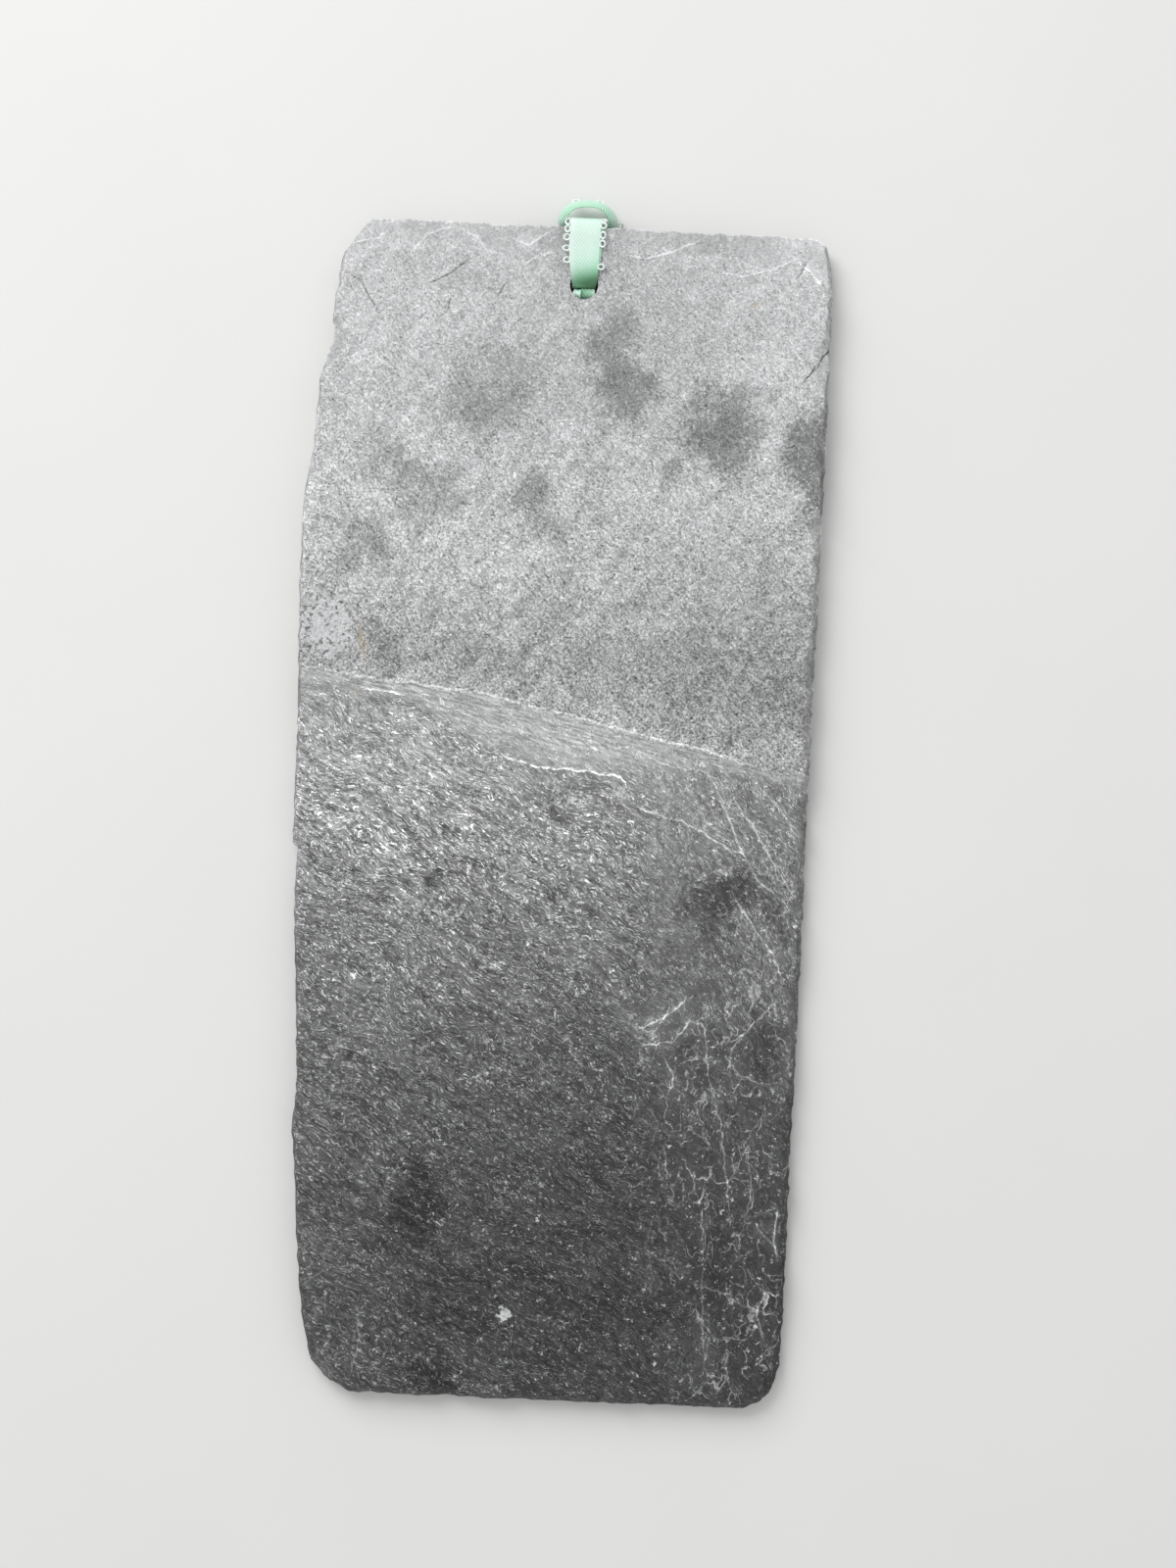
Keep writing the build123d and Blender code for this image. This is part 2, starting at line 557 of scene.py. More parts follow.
@dataclass(frozen=True)
class SlateFinish:
    """Riven slate: stippled and pale at the head, dark and flecked at the tail, stained and veined.

    Shades are written as they show, from 0 to 1, so they hold painted sheen and highlights as well as the
    stone's tone. Each group of fields serves the method of its name.
    """

    roughness: float = 0.72
    gloss: float = 0.3
    cool: Triple = (0.996, 0.999, 1.004)
    clouds: Grain = Grain(0.06, gain=0.26, middle=0.5, detail=4.0, rough=0.6)
    stipple_depth: float = 0.12
    fleck_depth: float = 0.12
    line_depth: float = 0.2

    stipple_web: Web = Web(1.5, 0.045, 0.6, bend=0.7)
    stipple_grains: tuple[Grain, ...] = (
        Grain(1.9, (0.37, 0.63), gain=0.85, middle=0.5, rough=0.75, bend=0.7),
        Grain(2.3, (0.57, 0.67), gain=0.8, detail=2.0, rough=0.6),
        Grain(2.1, (0.4, 0.31), gain=-0.9, detail=2.0, rough=0.6, bend=0.4),
        Grain(0.3, (0.3, 0.7), gain=0.3, middle=0.5, detail=4.0),
        Grain(
            1.0, (0.35, 0.65), gain=0.3, middle=0.5, detail=4.0, rough=0.65, turn=-52.0,
            stretch=(0.1, 0.4, 1.0),
        ),
        Grain(
            1.0, (0.38, 0.62), gain=0.4, middle=0.5, detail=2.0, rough=0.6, turn=48.0,
            stretch=(0.7, 2.2, 1.0),
        ),
    )
    stipple_level: float = 0.12

    fleck_turns: Point = (30.0, 50.0)
    fleck_stretch: Triple = (0.5, 2.5, 1.0)
    fleck_drifts: tuple[Drift, ...] = (Drift(0.05, 9.0), Drift(0.4, 1.6, detail=2.0))
    fleck_grains: tuple[Grain, ...] = (
        Grain(1.45, (0.4, 0.6), gain=0.36, middle=0.5, rough=0.65, bend=0.3),
        Grain(1.45, (0.57, 0.66), gain=0.8, detail=2.0, rough=0.6, bend=0.3),
        Grain(0.3, (0.36, 0.66), gain=0.42, middle=0.5, detail=4.0, rough=0.66),
    )
    fleck_pits: Grain = Grain(1.7, (0.41, 0.32), gain=-0.35, detail=2.0, rough=0.6, bend=0.4)
    stroke_web: Web = Web(1.0, 0.04, 1.5, bend=0.7)
    stroke_stretch: Triple = (0.8, 0.6, 1.0)
    stroke_gaps: Grain = Grain(0.6, (0.4, 0.56))
    fleck_level: float = -0.2

    combed_drift: Drift = Drift(0.07, 9.0, detail=2.0)
    combed_strokes: Grain = Grain(
        0.75, (0.4, 0.6), gain=0.42, middle=0.5, bend=0.5, turn=32.0, stretch=(0.5, 2.2, 1.0)
    )

    stain_borders: tuple[Grain, ...] = (
        Grain(1.3, gain=2.2, middle=0.5, detail=4.0, rough=0.8),
        Grain(0.17, gain=1.0, middle=0.5, rough=0.55),
        Grain(0.8, gain=0.6, middle=0.5, rough=0.6, stretch=(1.5, 0.4, 1.0)),
    )
    stain_levels: Point = (0.05, 0.95)

    # Torn slopes: paler partly as fresh stone and partly as painted sheen.
    slope_ends: tuple[Point, ...] = ((-0.02, 0.08), (1.15, 0.45))
    slope_lift: float = 0.05
    slope_comb: Grain = Grain(
        1.5, (0.36, 0.64), gain=0.16, middle=0.5, detail=4.0, turn=12.0, stretch=(0.14, 1.5, 1.0)
    )
    # Painted highlights: thin pale lines on the lips of the steps, where they catch the light.
    lips: tuple[tuple[str, Point, float], ...] = (("crest", (0.4, 0.04), 0.32), ("step", (0.38, 0.04), 0.6))
    lip_waver: Grain = Grain(0.9, middle=0.5)
    lip_gaps: Grain = Grain(0.5, (0.34, 0.54))

    flutes: Grain = Grain(1.1, gain=0.36, middle=0.5, detail=4.0, rough=0.65, bend=0.5)
    flute_length: float = 2.5
    edge_gaps: Grain = Grain(0.6, (0.3, 0.6))
    arris_lift: float = 0.07
    # Painted highlight: a thin pale line along the edge of the face.
    edge_highlight_width: Point = (0.5, 0.05)
    edge_highlight_lift: float = 0.16

    web_drift: Drift = Drift(0.12, 7.0, rough=0.6)
    web_stretch: Triple = (1.0, 0.55, 1.0)
    webs: tuple[Web, ...] = (Web(0.085, 0.008, 0.32), Web(0.17, 0.012, 0.26), Web(0.3, 0.016, 0.16))
    web_gaps: Grain = Grain(0.3, (0.38, 0.54), detail=4.0, rough=0.75)
    smears: Grain = Grain(0.1, (0.5, 0.68), gain=0.15, detail=4.0, rough=0.6)
    smear_grit: Grain = Grain(0.9, detail=4.0, rough=0.75)

    lines: tuple[tuple[str, LineStyle], ...] = (
        ("vein_a", VEIN),
        ("vein_b", VEIN),
        ("vein_c", replace(VEIN, half_width=0.3, halo=0.12, broken=0.65)),
        ("scar", LineStyle(0.38, 0.8, 0.2, 0.4, 1.9, 0.7)),
        ("crack", LineStyle(0.26, 0.55, 0.0, 0.35, 1.5, -1.0)),
    )
    line_waver: Grain = Grain(0.4, middle=0.5, gain=2.0, detail=4.0)
    line_gaps: Grain = Grain(0.5, (0.4, 0.6), detail=4.0, rough=0.75)
    line_core: float = 0.2
    halo_width: float = 2.4
    faintest: float = 0.1

    leaves: Grain = Grain(1.0, (0.34, 0.66), gain=0.4, middle=0.5, detail=4.0, stretch=(0.3, 0.3, 3.2))
    wall_lift: float = -0.12

    white: Triple = (0.93, 0.935, 0.94)
    ochre: Triple = (0.74, 0.67, 0.55)
    grey: Triple = (0.3, 0.3, 0.3)
    grit: Grain = Grain(0.9, middle=0.5, gain=2.0, detail=4.0, rough=0.75)
    chalk_ragged: float = 1.9
    chalk_levels: Point = (0.33, 0.72)
    chalk_share: float = 0.86
    chalk_holes: Grain = Grain(0.9, (0.47, 0.37), gain=0.55, rough=0.75)
    chalk_ground: Point = (0.1, 0.5)
    rust_ragged: float = 1.6
    rust_levels: Point = (0.5, 1.0)
    rust_share: float = 0.55
    # Painted glints: white specks where crystals catch the light.
    glint_specks: Grain = Grain(1.9, detail=1.0, rough=0.5)
    glint_levels: Point = (0.92, 1.0)
    glint_share: float = 0.8

    def material(self) -> bpy.types.Material:
        """Build the slate's material.

        Returns:
            The material.
        """
        sheet = NodeSheet("riven_slate")
        place = sheet.millimetres()
        stipple = self.stippled(sheet, place)
        slants = (self.flecked(sheet, place, turn) for turn in self.fleck_turns)
        flecks = sheet.mixed(sheet.attribute("steep"), *slants)
        tail = sheet.attribute("flecked")
        texture = sheet.total(sheet.mixed(tail, stipple, flecks), self.combed(sheet, place))
        shade = sheet.product(
            sheet.attribute("shade"),
            sheet.total(
                1.0, sheet.product(texture, sheet.attribute("contrast")), sheet.grain(place, self.clouds)
            ),
        )
        for layer in (self.stained, self.stepped, self.dressed, self.webbed):
            shade = layer(sheet, place, shade)
        shade, height = self.lined(sheet, place, shade)
        shade = self.layered(sheet, place, shade)
        colour = self.minerals(sheet, place, sheet.stretched(shade, self.cool))
        sheet.put(sheet.shader, "Base Color", sheet.written(colour))
        sheet.put(sheet.shader, "Roughness", self.roughness)
        sheet.put(sheet.shader, "Specular IOR Level", self.gloss)
        rough = sheet.attribute("rough")
        ground = sheet.relief(sheet.product(flecks, tail, rough), self.fleck_depth)
        head = sheet.product(stipple, sheet.rest(tail), rough)
        ground = sheet.relief(head, self.stipple_depth, ground)
        sheet.put(sheet.shader, "Normal", sheet.relief(height, self.line_depth, ground))
        return sheet.material

    def stippled(self, sheet: NodeSheet, place: Socket) -> Socket:
        """Give the fine crisp grains and pits of the upper sheet.

        Args:
            sheet: The material's node tree.
            place: The place in millimetres.

        Returns:
            The pattern's socket, centred on zero.
        """
        grains = (sheet.grain(place, grain) for grain in self.stipple_grains)
        return sheet.total(self.stipple_level, sheet.web(place, self.stipple_web), *grains)

    def flecked(self, sheet: NodeSheet, place: Socket, turn: float) -> Socket:
        """Give the short slanting flecks of the lower sheets.

        Args:
            sheet: The material's node tree.
            place: The place in millimetres.
            turn: How steeply the flecks fall to the right, in degrees.

        Returns:
            The pattern's socket, centred on zero.
        """
        wavy = sheet.drifted(place, place, *self.fleck_drifts)
        along = sheet.stretched(sheet.turned(wavy, turn), self.fleck_stretch)
        strokes = sheet.web(sheet.stretched(along, self.stroke_stretch), self.stroke_web)
        grains = (sheet.grain(along, grain) for grain in self.fleck_grains)
        return sheet.total(
            self.fleck_level, sheet.product(strokes, sheet.grain(place, self.stroke_gaps)),
            sheet.grain(place, self.fleck_pits), *grains,
        )

    def combed(self, sheet: NodeSheet, place: Socket) -> Socket:
        """Give the long swirling strokes that lie under the ridge at the left.

        Args:
            sheet: The material's node tree.
            place: The place in millimetres.

        Returns:
            The pattern's socket, centred on zero.
        """
        wavy = sheet.drifted(place, place, self.combed_drift)
        return sheet.product(sheet.grain(wavy, self.combed_strokes), sheet.attribute("combed"))

    def stained(self, sheet: NodeSheet, place: Socket, shade: Socket) -> Socket:
        """Darken the damp patches, which break up into streaks and speckles at their borders.

        Args:
            sheet: The material's node tree.
            place: The place in millimetres.
            shade: The shade so far.

        Returns:
            The shade with its damp patches.
        """
        ragged = (sheet.grain(place, grain) for grain in self.stain_borders)
        depth = sheet.fade(sheet.total(sheet.attribute("damp"), *ragged), *self.stain_levels)
        return sheet.product(shade, sheet.rest(sheet.product(depth, sheet.attribute("damp_depth"))))

    def stepped(self, sheet: NodeSheet, place: Socket, shade: Socket) -> Socket:
        """Lighten the torn slopes, partly as paler fresh stone and partly as painted sheen, and paint
        highlights on the thin crests of the cleavage steps.

        Args:
            sheet: The material's node tree.
            place: The place in millimetres.
            shade: The shade so far.

        Returns:
            The shade with its steps.
        """
        inside = sheet.product(*(sheet.fade(sheet.attribute("fall"), *levels) for levels in self.slope_ends))
        comb = sheet.total(self.slope_lift, sheet.grain(place, self.slope_comb))
        shade = sheet.total(shade, sheet.product(inside, comb, sheet.attribute("torn")))
        waver, gaps = sheet.grain(place, self.lip_waver), sheet.grain(place, self.lip_gaps)
        for name, width, lift in self.lips:
            apart = sheet.calc("ABSOLUTE", sheet.total(sheet.attribute(name), waver))
            line = sheet.product(sheet.fade(apart, *width), sheet.attribute(name + "_mark"), gaps)
            shade = sheet.total(shade, sheet.product(line, lift))
        return shade

    def dressed(self, sheet: NodeSheet, place: Socket, shade: Socket) -> Socket:
        """Streak the flaked faces away from the edge, light the thin arrises between them and paint a thin
        highlight along the edge.

        Args:
            sheet: The material's node tree.
            place: The place in millimetres.
            shade: The shade so far.

        Returns:
            The shade with its dressed edges.
        """
        flaked, inward = sheet.attribute("flaked"), sheet.attribute("inward")
        from_edge = sheet.tree.nodes.new("ShaderNodeCombineXYZ")
        sheet.put(from_edge, 0, sheet.attribute("along"))
        sheet.put(from_edge, 1, sheet.product(inward, 1.0 / self.flute_length))
        for streak in (sheet.grain(from_edge.outputs[0], self.flutes), sheet.attribute("flake_lift")):
            shade = sheet.product(shade, sheet.total(1.0, sheet.product(flaked, streak)))
        gaps = sheet.grain(place, self.edge_gaps)
        arris = sheet.product(sheet.attribute("arris"), gaps, self.arris_lift)
        # Painted highlight along the edge, where the light catches it.
        edge_highlight = sheet.product(sheet.fade(inward, *self.edge_highlight_width), gaps, sheet.rest(sheet.upright()))
        return sheet.total(shade, sheet.product(edge_highlight, self.edge_highlight_lift), arris)

    def webbed(self, sheet: NodeSheet, place: Socket, shade: Socket) -> Socket:
        """Spread a web of hair veins and ghostly smears over the veined ground.

        Args:
            sheet: The material's node tree.
            place: The place in millimetres.
            shade: The shade so far.

        Returns:
            The shade with its web.
        """
        ground = sheet.attribute("veined")
        wavy = sheet.drifted(sheet.stretched(place, self.web_stretch), place, self.web_drift)
        gaps = sheet.grain(place, self.web_gaps)
        for web in self.webs:
            shade = sheet.total(shade, sheet.product(sheet.web(wavy, web), gaps, ground))
        smears = sheet.product(sheet.grain(wavy, self.smears), sheet.grain(place, self.smear_grit))
        return sheet.total(shade, sheet.product(smears, ground))

    def lined(self, sheet: NodeSheet, place: Socket, shade: Socket) -> tuple[Socket, Socket]:
        """Draw the pale veins, the outlines of the scars and the dark cracks.

        Args:
            sheet: The material's node tree.
            place: The place in millimetres.
            shade: The shade so far.

        Returns:
            The shade with its lines, and the height of the lines.
        """
        height: Input = 0.0
        waver, gaps = sheet.grain(place, self.line_waver), sheet.grain(place, self.line_gaps)
        for name, style in self.lines:
            winding = sheet.total(sheet.attribute(name), sheet.product(waver, style.waver))
            apart = sheet.calc("ABSOLUTE", winding)
            whole = sheet.total(sheet.product(gaps, style.broken), 1.0 - style.broken)
            core = sheet.fade(apart, style.half_width, self.line_core * style.half_width)
            core = sheet.product(core, whole, style.gain)
            halo = sheet.product(sheet.fade(apart, self.halo_width, 0.0), style.halo)
            lift = sheet.attribute(name + "_lift")
            shade = sheet.total(shade, sheet.product(sheet.total(core, halo), lift))
            seen = sheet.fade(sheet.calc("ABSOLUTE", lift), 0.0, self.faintest)
            height = sheet.total(height, sheet.product(core, style.relief / style.gain, seen))
        return shade, height

    def layered(self, sheet: NodeSheet, place: Socket, shade: Socket) -> Socket:
        """Show the thin leaves of the slate on its broken edges and in its hole.

        Args:
            sheet: The material's node tree.
            place: The place in millimetres.
            shade: The shade so far.

        Returns:
            The shade with its leaves.
        """
        leaves = sheet.total(self.wall_lift, sheet.grain(place, self.leaves))
        return sheet.product(shade, sheet.total(1.0, sheet.product(sheet.upright(), leaves)))

    def minerals(self, sheet: NodeSheet, place: Socket, colour: Socket) -> Socket:
        """Add the chalky patch and the ochre streaks, and paint the glints of crystals as white specks.

        Args:
            sheet: The material's node tree.
            place: The place in millimetres.
            colour: The colour so far.

        Returns:
            The colour with its minerals.
        """
        grit = sheet.grain(place, self.grit)
        chalky, ochre = sheet.attribute("chalk"), sheet.attribute("ochre")
        chalk = sheet.fade(sheet.total(chalky, sheet.product(grit, self.chalk_ragged)), *self.chalk_levels)
        holes = sheet.product(sheet.grain(place, self.chalk_holes), sheet.fade(chalky, *self.chalk_ground))
        rust = sheet.fade(sheet.total(ochre, sheet.product(grit, self.rust_ragged)), *self.rust_levels)
        glint_specks = sheet.total(sheet.attribute("glints"), sheet.grain(place, self.glint_specks))
        for share, tint in (
            (sheet.product(chalk, self.chalk_share), self.white),
            (holes, self.grey),
            (sheet.product(rust, self.rust_share), self.ochre),
            (sheet.product(sheet.fade(glint_specks, *self.glint_levels), self.glint_share), self.white),
        ):
            colour = sheet.blend(share, colour, (*tint, 1.0))
        return colour


@dataclass(frozen=True)
class RibbonFinish:
    """Satin ribbon with fine weft ribs; painted highlights make it paler on its crown and its lit edge, and
    painted shade makes it greener on its right margin and deep green where it turns into the hole.
    """

    pale: Triple = (0.935, 1.0, 0.975)
    mint: Triple = (0.71, 0.96, 0.82)
    # Painted shade colour, where the ribbon turns down into the hole.
    deep: Triple = (0.36, 0.57, 0.41)
    thread: Triple = (0.93, 0.985, 0.96)
    rib_pitch: float = 0.55
    rib_turn: float = -48.0
    rib_depth: float = 0.14
    rib_waver: float = 0.8
    rib_share: float = 0.75
    threads: Grain = Grain(1.6, gain=0.3, detail=2.0, rough=0.55, stretch=(5.0, 0.8, 1.0))
    ground: float = 0.12
    side_shade: float = 0.5
    margin_shade: Point = (0.3, 1.0)
    margin_shade_share: float = 0.4
    lit_edge: Point = (-0.5, -0.95)
    lit_share: float = 0.5
    roughness: float = 0.42
    sheen: float = 0.2

    def material(self) -> bpy.types.Material:
        """Build the ribbon's material.

        Returns:
            The material.
        """
        sheet = NodeSheet("mint_satin")
        uv = sheet.tree.nodes.new("ShaderNodeUVMap")
        uv.uv_map = WEAVE
        place = sheet.turned(uv.outputs[0], self.rib_turn)
        wave = sheet.tree.nodes.new("ShaderNodeTexWave")
        wave.wave_type = "BANDS"
        wave.bands_direction = "Y"
        sheet.put(wave, "Vector", place)
        sheet.put(wave, "Scale", 2.0 * math.pi / (WAVES_A_BAND * self.rib_pitch))
        sheet.put(wave, "Distortion", self.rib_waver)
        ribs = wave.outputs["Fac"]
        threads = sheet.grain(uv.outputs[0], self.threads)
        weave = sheet.total(sheet.product(ribs, self.rib_share), threads, self.ground)
        # Painted shade and highlights: the stations' shading, stronger on the right, blends towards deep
        # green; its negative values and the lit edge blend towards pale; the right margin is shaded towards
        # mint.
        side = sheet.attribute("side")
        deeper = sheet.total(1.0, sheet.product(side, self.side_shade))
        shaded = sheet.product(sheet.attribute("shaded"), deeper)
        margin_shade = sheet.product(sheet.fade(side, *self.margin_shade), self.margin_shade_share)
        mixed = sheet.total(
            sheet.product(weave, sheet.rest(margin_shade)),
            sheet.product(sheet.fade(side, *self.lit_edge), self.lit_share), sheet.product(shaded, -1.0),
        )
        colour = sheet.blend(mixed, (*self.mint, 1.0), (*self.pale, 1.0))
        colour = sheet.blend(shaded, colour, (*self.deep, 1.0))
        colour = sheet.blend(sheet.attribute("thread"), colour, (*self.thread, 1.0))
        sheet.put(sheet.shader, "Base Color", sheet.written(colour))
        sheet.put(sheet.shader, "Roughness", self.roughness)
        sheet.put(sheet.shader, "Sheen Weight", self.sheen)
        sheet.put(sheet.shader, "Normal", sheet.relief(ribs, self.rib_depth))
        return sheet.material


@dataclass(frozen=True)
class FloorFinish:
    """A plain pale floor, with the faint unevenness of painted board."""

    pale: Triple = (0.91, 0.91, 0.905)
    darker: float = 0.985
    clouds: Grain = Grain(0.02, detail=2.0, rough=0.55)
    roughness: float = 0.8

    def material(self) -> bpy.types.Material:
        """Build the floor's material.

        Returns:
            The material.
        """
        sheet = NodeSheet("pale_floor")
        cloud = sheet.grain(sheet.millimetres(), self.clouds)
        darker = tuple(self.darker * value for value in self.pale)
        colour = sheet.blend(cloud, (*darker, 1.0), (*self.pale, 1.0))
        sheet.put(sheet.shader, "Base Color", sheet.written(colour))
        sheet.put(sheet.shader, "Roughness", self.roughness)
        return sheet.material


@dataclass(frozen=True)
class Dressing:
    """How one side of the slate was knapped, each pair of millimetres from least to most.

    Attributes:
        width: The widths of its flakes.
        bite: How far they bite into the outline.
        run: How far in they run.
        drop: How deep they fall at the edge.
        chip: How far the small chips between them bite.
        lift: How much paler its scars are than the face, or darker below 0.
    """

    width: Point
    bite: Point
    run: Point
    drop: Point
    chip: float
    lift: float


DRESSINGS = {
    Side.HEAD: Dressing((3.5, 9.5), (0.08, 0.45), (2.4, 7.5), (0.4, 1.1), 0.12, -0.06),
    Side.RIGHT: Dressing((2.4, 6.5), (0.15, 0.5), (0.8, 2.8), (1.8, 3.4), 0.26, -0.05),
    Side.FOOT: Dressing((3.0, 6.5), (0.12, 0.45), (0.9, 2.4), (1.6, 2.8), 0.16, 0.06),
    Side.LEFT: Dressing((2.6, 7.0), (0.1, 0.38), (0.3, 1.1), (1.2, 2.4), 0.12, -0.1),
}


@dataclass(frozen=True)
class Flake:
    """One flake scar: where it is along the edge, its width, how far in it runs and how deep it falls."""

    along: float
    width: float
    run: float
    drop: float
    lift: float
    power: float = 1.3


@dataclass(frozen=True)
class Scar:
    """A larger flake scar, struck at a place on the edge."""

    place: Point
    width: float
    run: float
    drop: float
    lift: float


@dataclass(frozen=True)
class Crest:
    """The lip of a cleavage step.

    Attributes:
        points: Distance right of the hole's line, height up the slate and the run of the slope there.
        drop: How far the face falls.
        ripple: How far the lip wavers.
        marks: How strongly the lip catches the light, across the slate.
    """

    points: tuple[Triple, ...]
    drop: float
    ripple: float
    marks: tuple[Point, ...]

    def lip(self, x: np.ndarray) -> np.ndarray:
        """Give the lip's height up the slate, with its fine waver.

        Args:
            x: Distance right of the hole's line.

        Returns:
            The lip's Y.
        """
        line = along_points(x, [(px, py) for px, py, _ in self.points])
        waver = 0.5 * np.sin(x * 1.3) + 0.3 * np.sin(x * 2.9 + 1) + 0.4 * np.sin(x * 0.41 + 2)
        return line + self.ripple * waver

    def fall(self, x: np.ndarray, y: np.ndarray) -> np.ndarray:
        """Give how far down the torn slope a place is.

        Args:
            x: Distance right of the hole's line.
            y: Height up the slate.

        Returns:
            The share, 0 at the lip and 1 at the toe.
        """
        run = along_points(x, [(px, pr) for px, _, pr in self.points])
        return (self.lip(x) - y) / run

    def lowered(self, x: np.ndarray, y: np.ndarray) -> np.ndarray:
        """Give how far the step lowers the face, most steeply at its lip."""
        return self.drop * (1.0 - (1.0 - np.clip(self.fall(x, y), 0.0, 1.0)) ** LIP_POWER)


@dataclass(frozen=True)
class Line:
    """A thin line on the face: its points, and how much paler it is than the slate, or darker below 0."""

    points: tuple[Point, ...]
    lift: float


@dataclass(frozen=True)
class Patch:
    """An oval patch on the face: its centre, its two radii, its turn in degrees and its strength."""

    centre: Point
    radii: Point
    turn: float
    strength: float

    def nearness(self, x: np.ndarray, y: np.ndarray) -> np.ndarray:
        """Give how near its centre each place is.

        Args:
            x: Distance right of the hole's line.
            y: Height up the slate.

        Returns:
            The share, 1 near the centre, falling to 0 a little past the oval.
        """
        angle = math.radians(self.turn)
        dx, dy = x - self.centre[0], y - self.centre[1]
        across = (dx * math.cos(angle) + dy * math.sin(angle)) / self.radii[0]
        up = (dy * math.cos(angle) - dx * math.sin(angle)) / self.radii[1]
        return np.clip(PATCH_END - np.hypot(across, up), 0.0, 1.0)


@dataclass(frozen=True)
class Tint:
    """A part of the face that is paler, or darker below 0: ramps across and up, each from nothing to full."""

    lift: float
    across: Point
    up: tuple[Point, ...]

    def at(self, x: np.ndarray, y: np.ndarray) -> np.ndarray:
        """Give how much the tint lifts the shade at each place.

        Args:
            x: Distance right of the hole's line.
            y: Height up the slate.

        Returns:
            The lift.
        """
        share = smooth_between(x, *self.across)
        for ramp in self.up:
            share = share * smooth_between(y, *ramp)
        return self.lift * share


@dataclass
class Perimeter:
    """The slate in plan: one run of points for each side, from corner to corner, clockwise."""

    sides: dict[Side, tuple[Point, ...]]
    step: float = 0.3
    easing: int = 5
    batch: int = 4000
    whole: float = field(init=False)
    places: np.ndarray = field(init=False)
    along: np.ndarray = field(init=False)
    starts: dict[Side, float] = field(init=False)
    lengths: dict[Side, float] = field(init=False)

    def __post_init__(self) -> None:
        """Walk round the slate at even steps."""
        self.starts, self.lengths, runs, start = {}, {}, [], 0.0
        for side in Side:
            points = np.array(self.sides[side])
            chord = np.r_[0.0, np.cumsum(np.hypot(*np.diff(points, axis=0).T))]
            count = int(chord[-1] / self.step) + 1
            at = np.linspace(0.0, chord[-1], count, endpoint=False)
            x, y = (np.interp(at, chord, values) for values in points.T)
            runs.append(np.c_[x, y, at + start])
            self.starts[side], self.lengths[side] = start, chord[-1]
            start += chord[-1]
        walked = np.vstack(runs)
        self.places, self.along, self.whole = walked[:, :2], walked[:, 2], start

    def outward(self) -> np.ndarray:
        """Give the outward direction at each step, eased over a few millimetres.

        Returns:
            The directions, one row each.
        """
        way = np.roll(self.places, -self.easing, axis=0) - np.roll(self.places, self.easing, axis=0)
        way /= np.linalg.norm(way, axis=1)[:, None]
        return np.c_[-way[:, 1], way[:, 0]]

    def pull_in(self, depth: np.ndarray) -> None:
        """Bite into the outline by a depth at each step."""
        self.places = self.places - self.outward() * depth[:, None]

    def scallop(self, middle: float, width: float) -> np.ndarray:
        """Give the round bite that one flake takes.

        Args:
            middle: Where it is along the outline.
            width: How wide it is.

        Returns:
            The bite at each step, 1 in its middle and 0 past its ends.
        """
        return np.clip(1.0 - ((self.along - middle) / (width / 2)) ** 2, 0.0, 1.0)

    def side_point(self, side: Side, share: np.ndarray) -> np.ndarray:
        """Give places along one side.

        Args:
            side: The side.
            share: How far along it, clockwise, from 0 to 1.

        Returns:
            The places, one row each.
        """
        at = (self.starts[side] + share * self.lengths[side]) % self.whole
        x = np.interp(at, self.along, self.places[:, 0], period=self.whole)
        y = np.interp(at, self.along, self.places[:, 1], period=self.whole)
        return np.c_[x, y]

    def nearest(self, x: np.ndarray, y: np.ndarray, reach: float) -> tuple[np.ndarray, np.ndarray]:
        """Find where on the outline each place is nearest to.

        Args:
            x: Distance right of the hole's line.
            y: Height up the slate.
            reach: Beyond this distance from the edge nothing is looked up.

        Returns:
            How far along the outline, and how far in from it.
        """
        rows, inward = np.zeros(len(x), int), np.full(len(x), reach)
        for begin in range(0, len(x), self.batch):
            part = slice(begin, begin + self.batch)
            apart = np.hypot(x[part, None] - self.places[None, :, 0], y[part, None] - self.places[None, :, 1])
            rows[part] = apart.argmin(axis=1)
            inward[part] = np.minimum(apart.min(axis=1), reach)
        return self.along[rows], inward


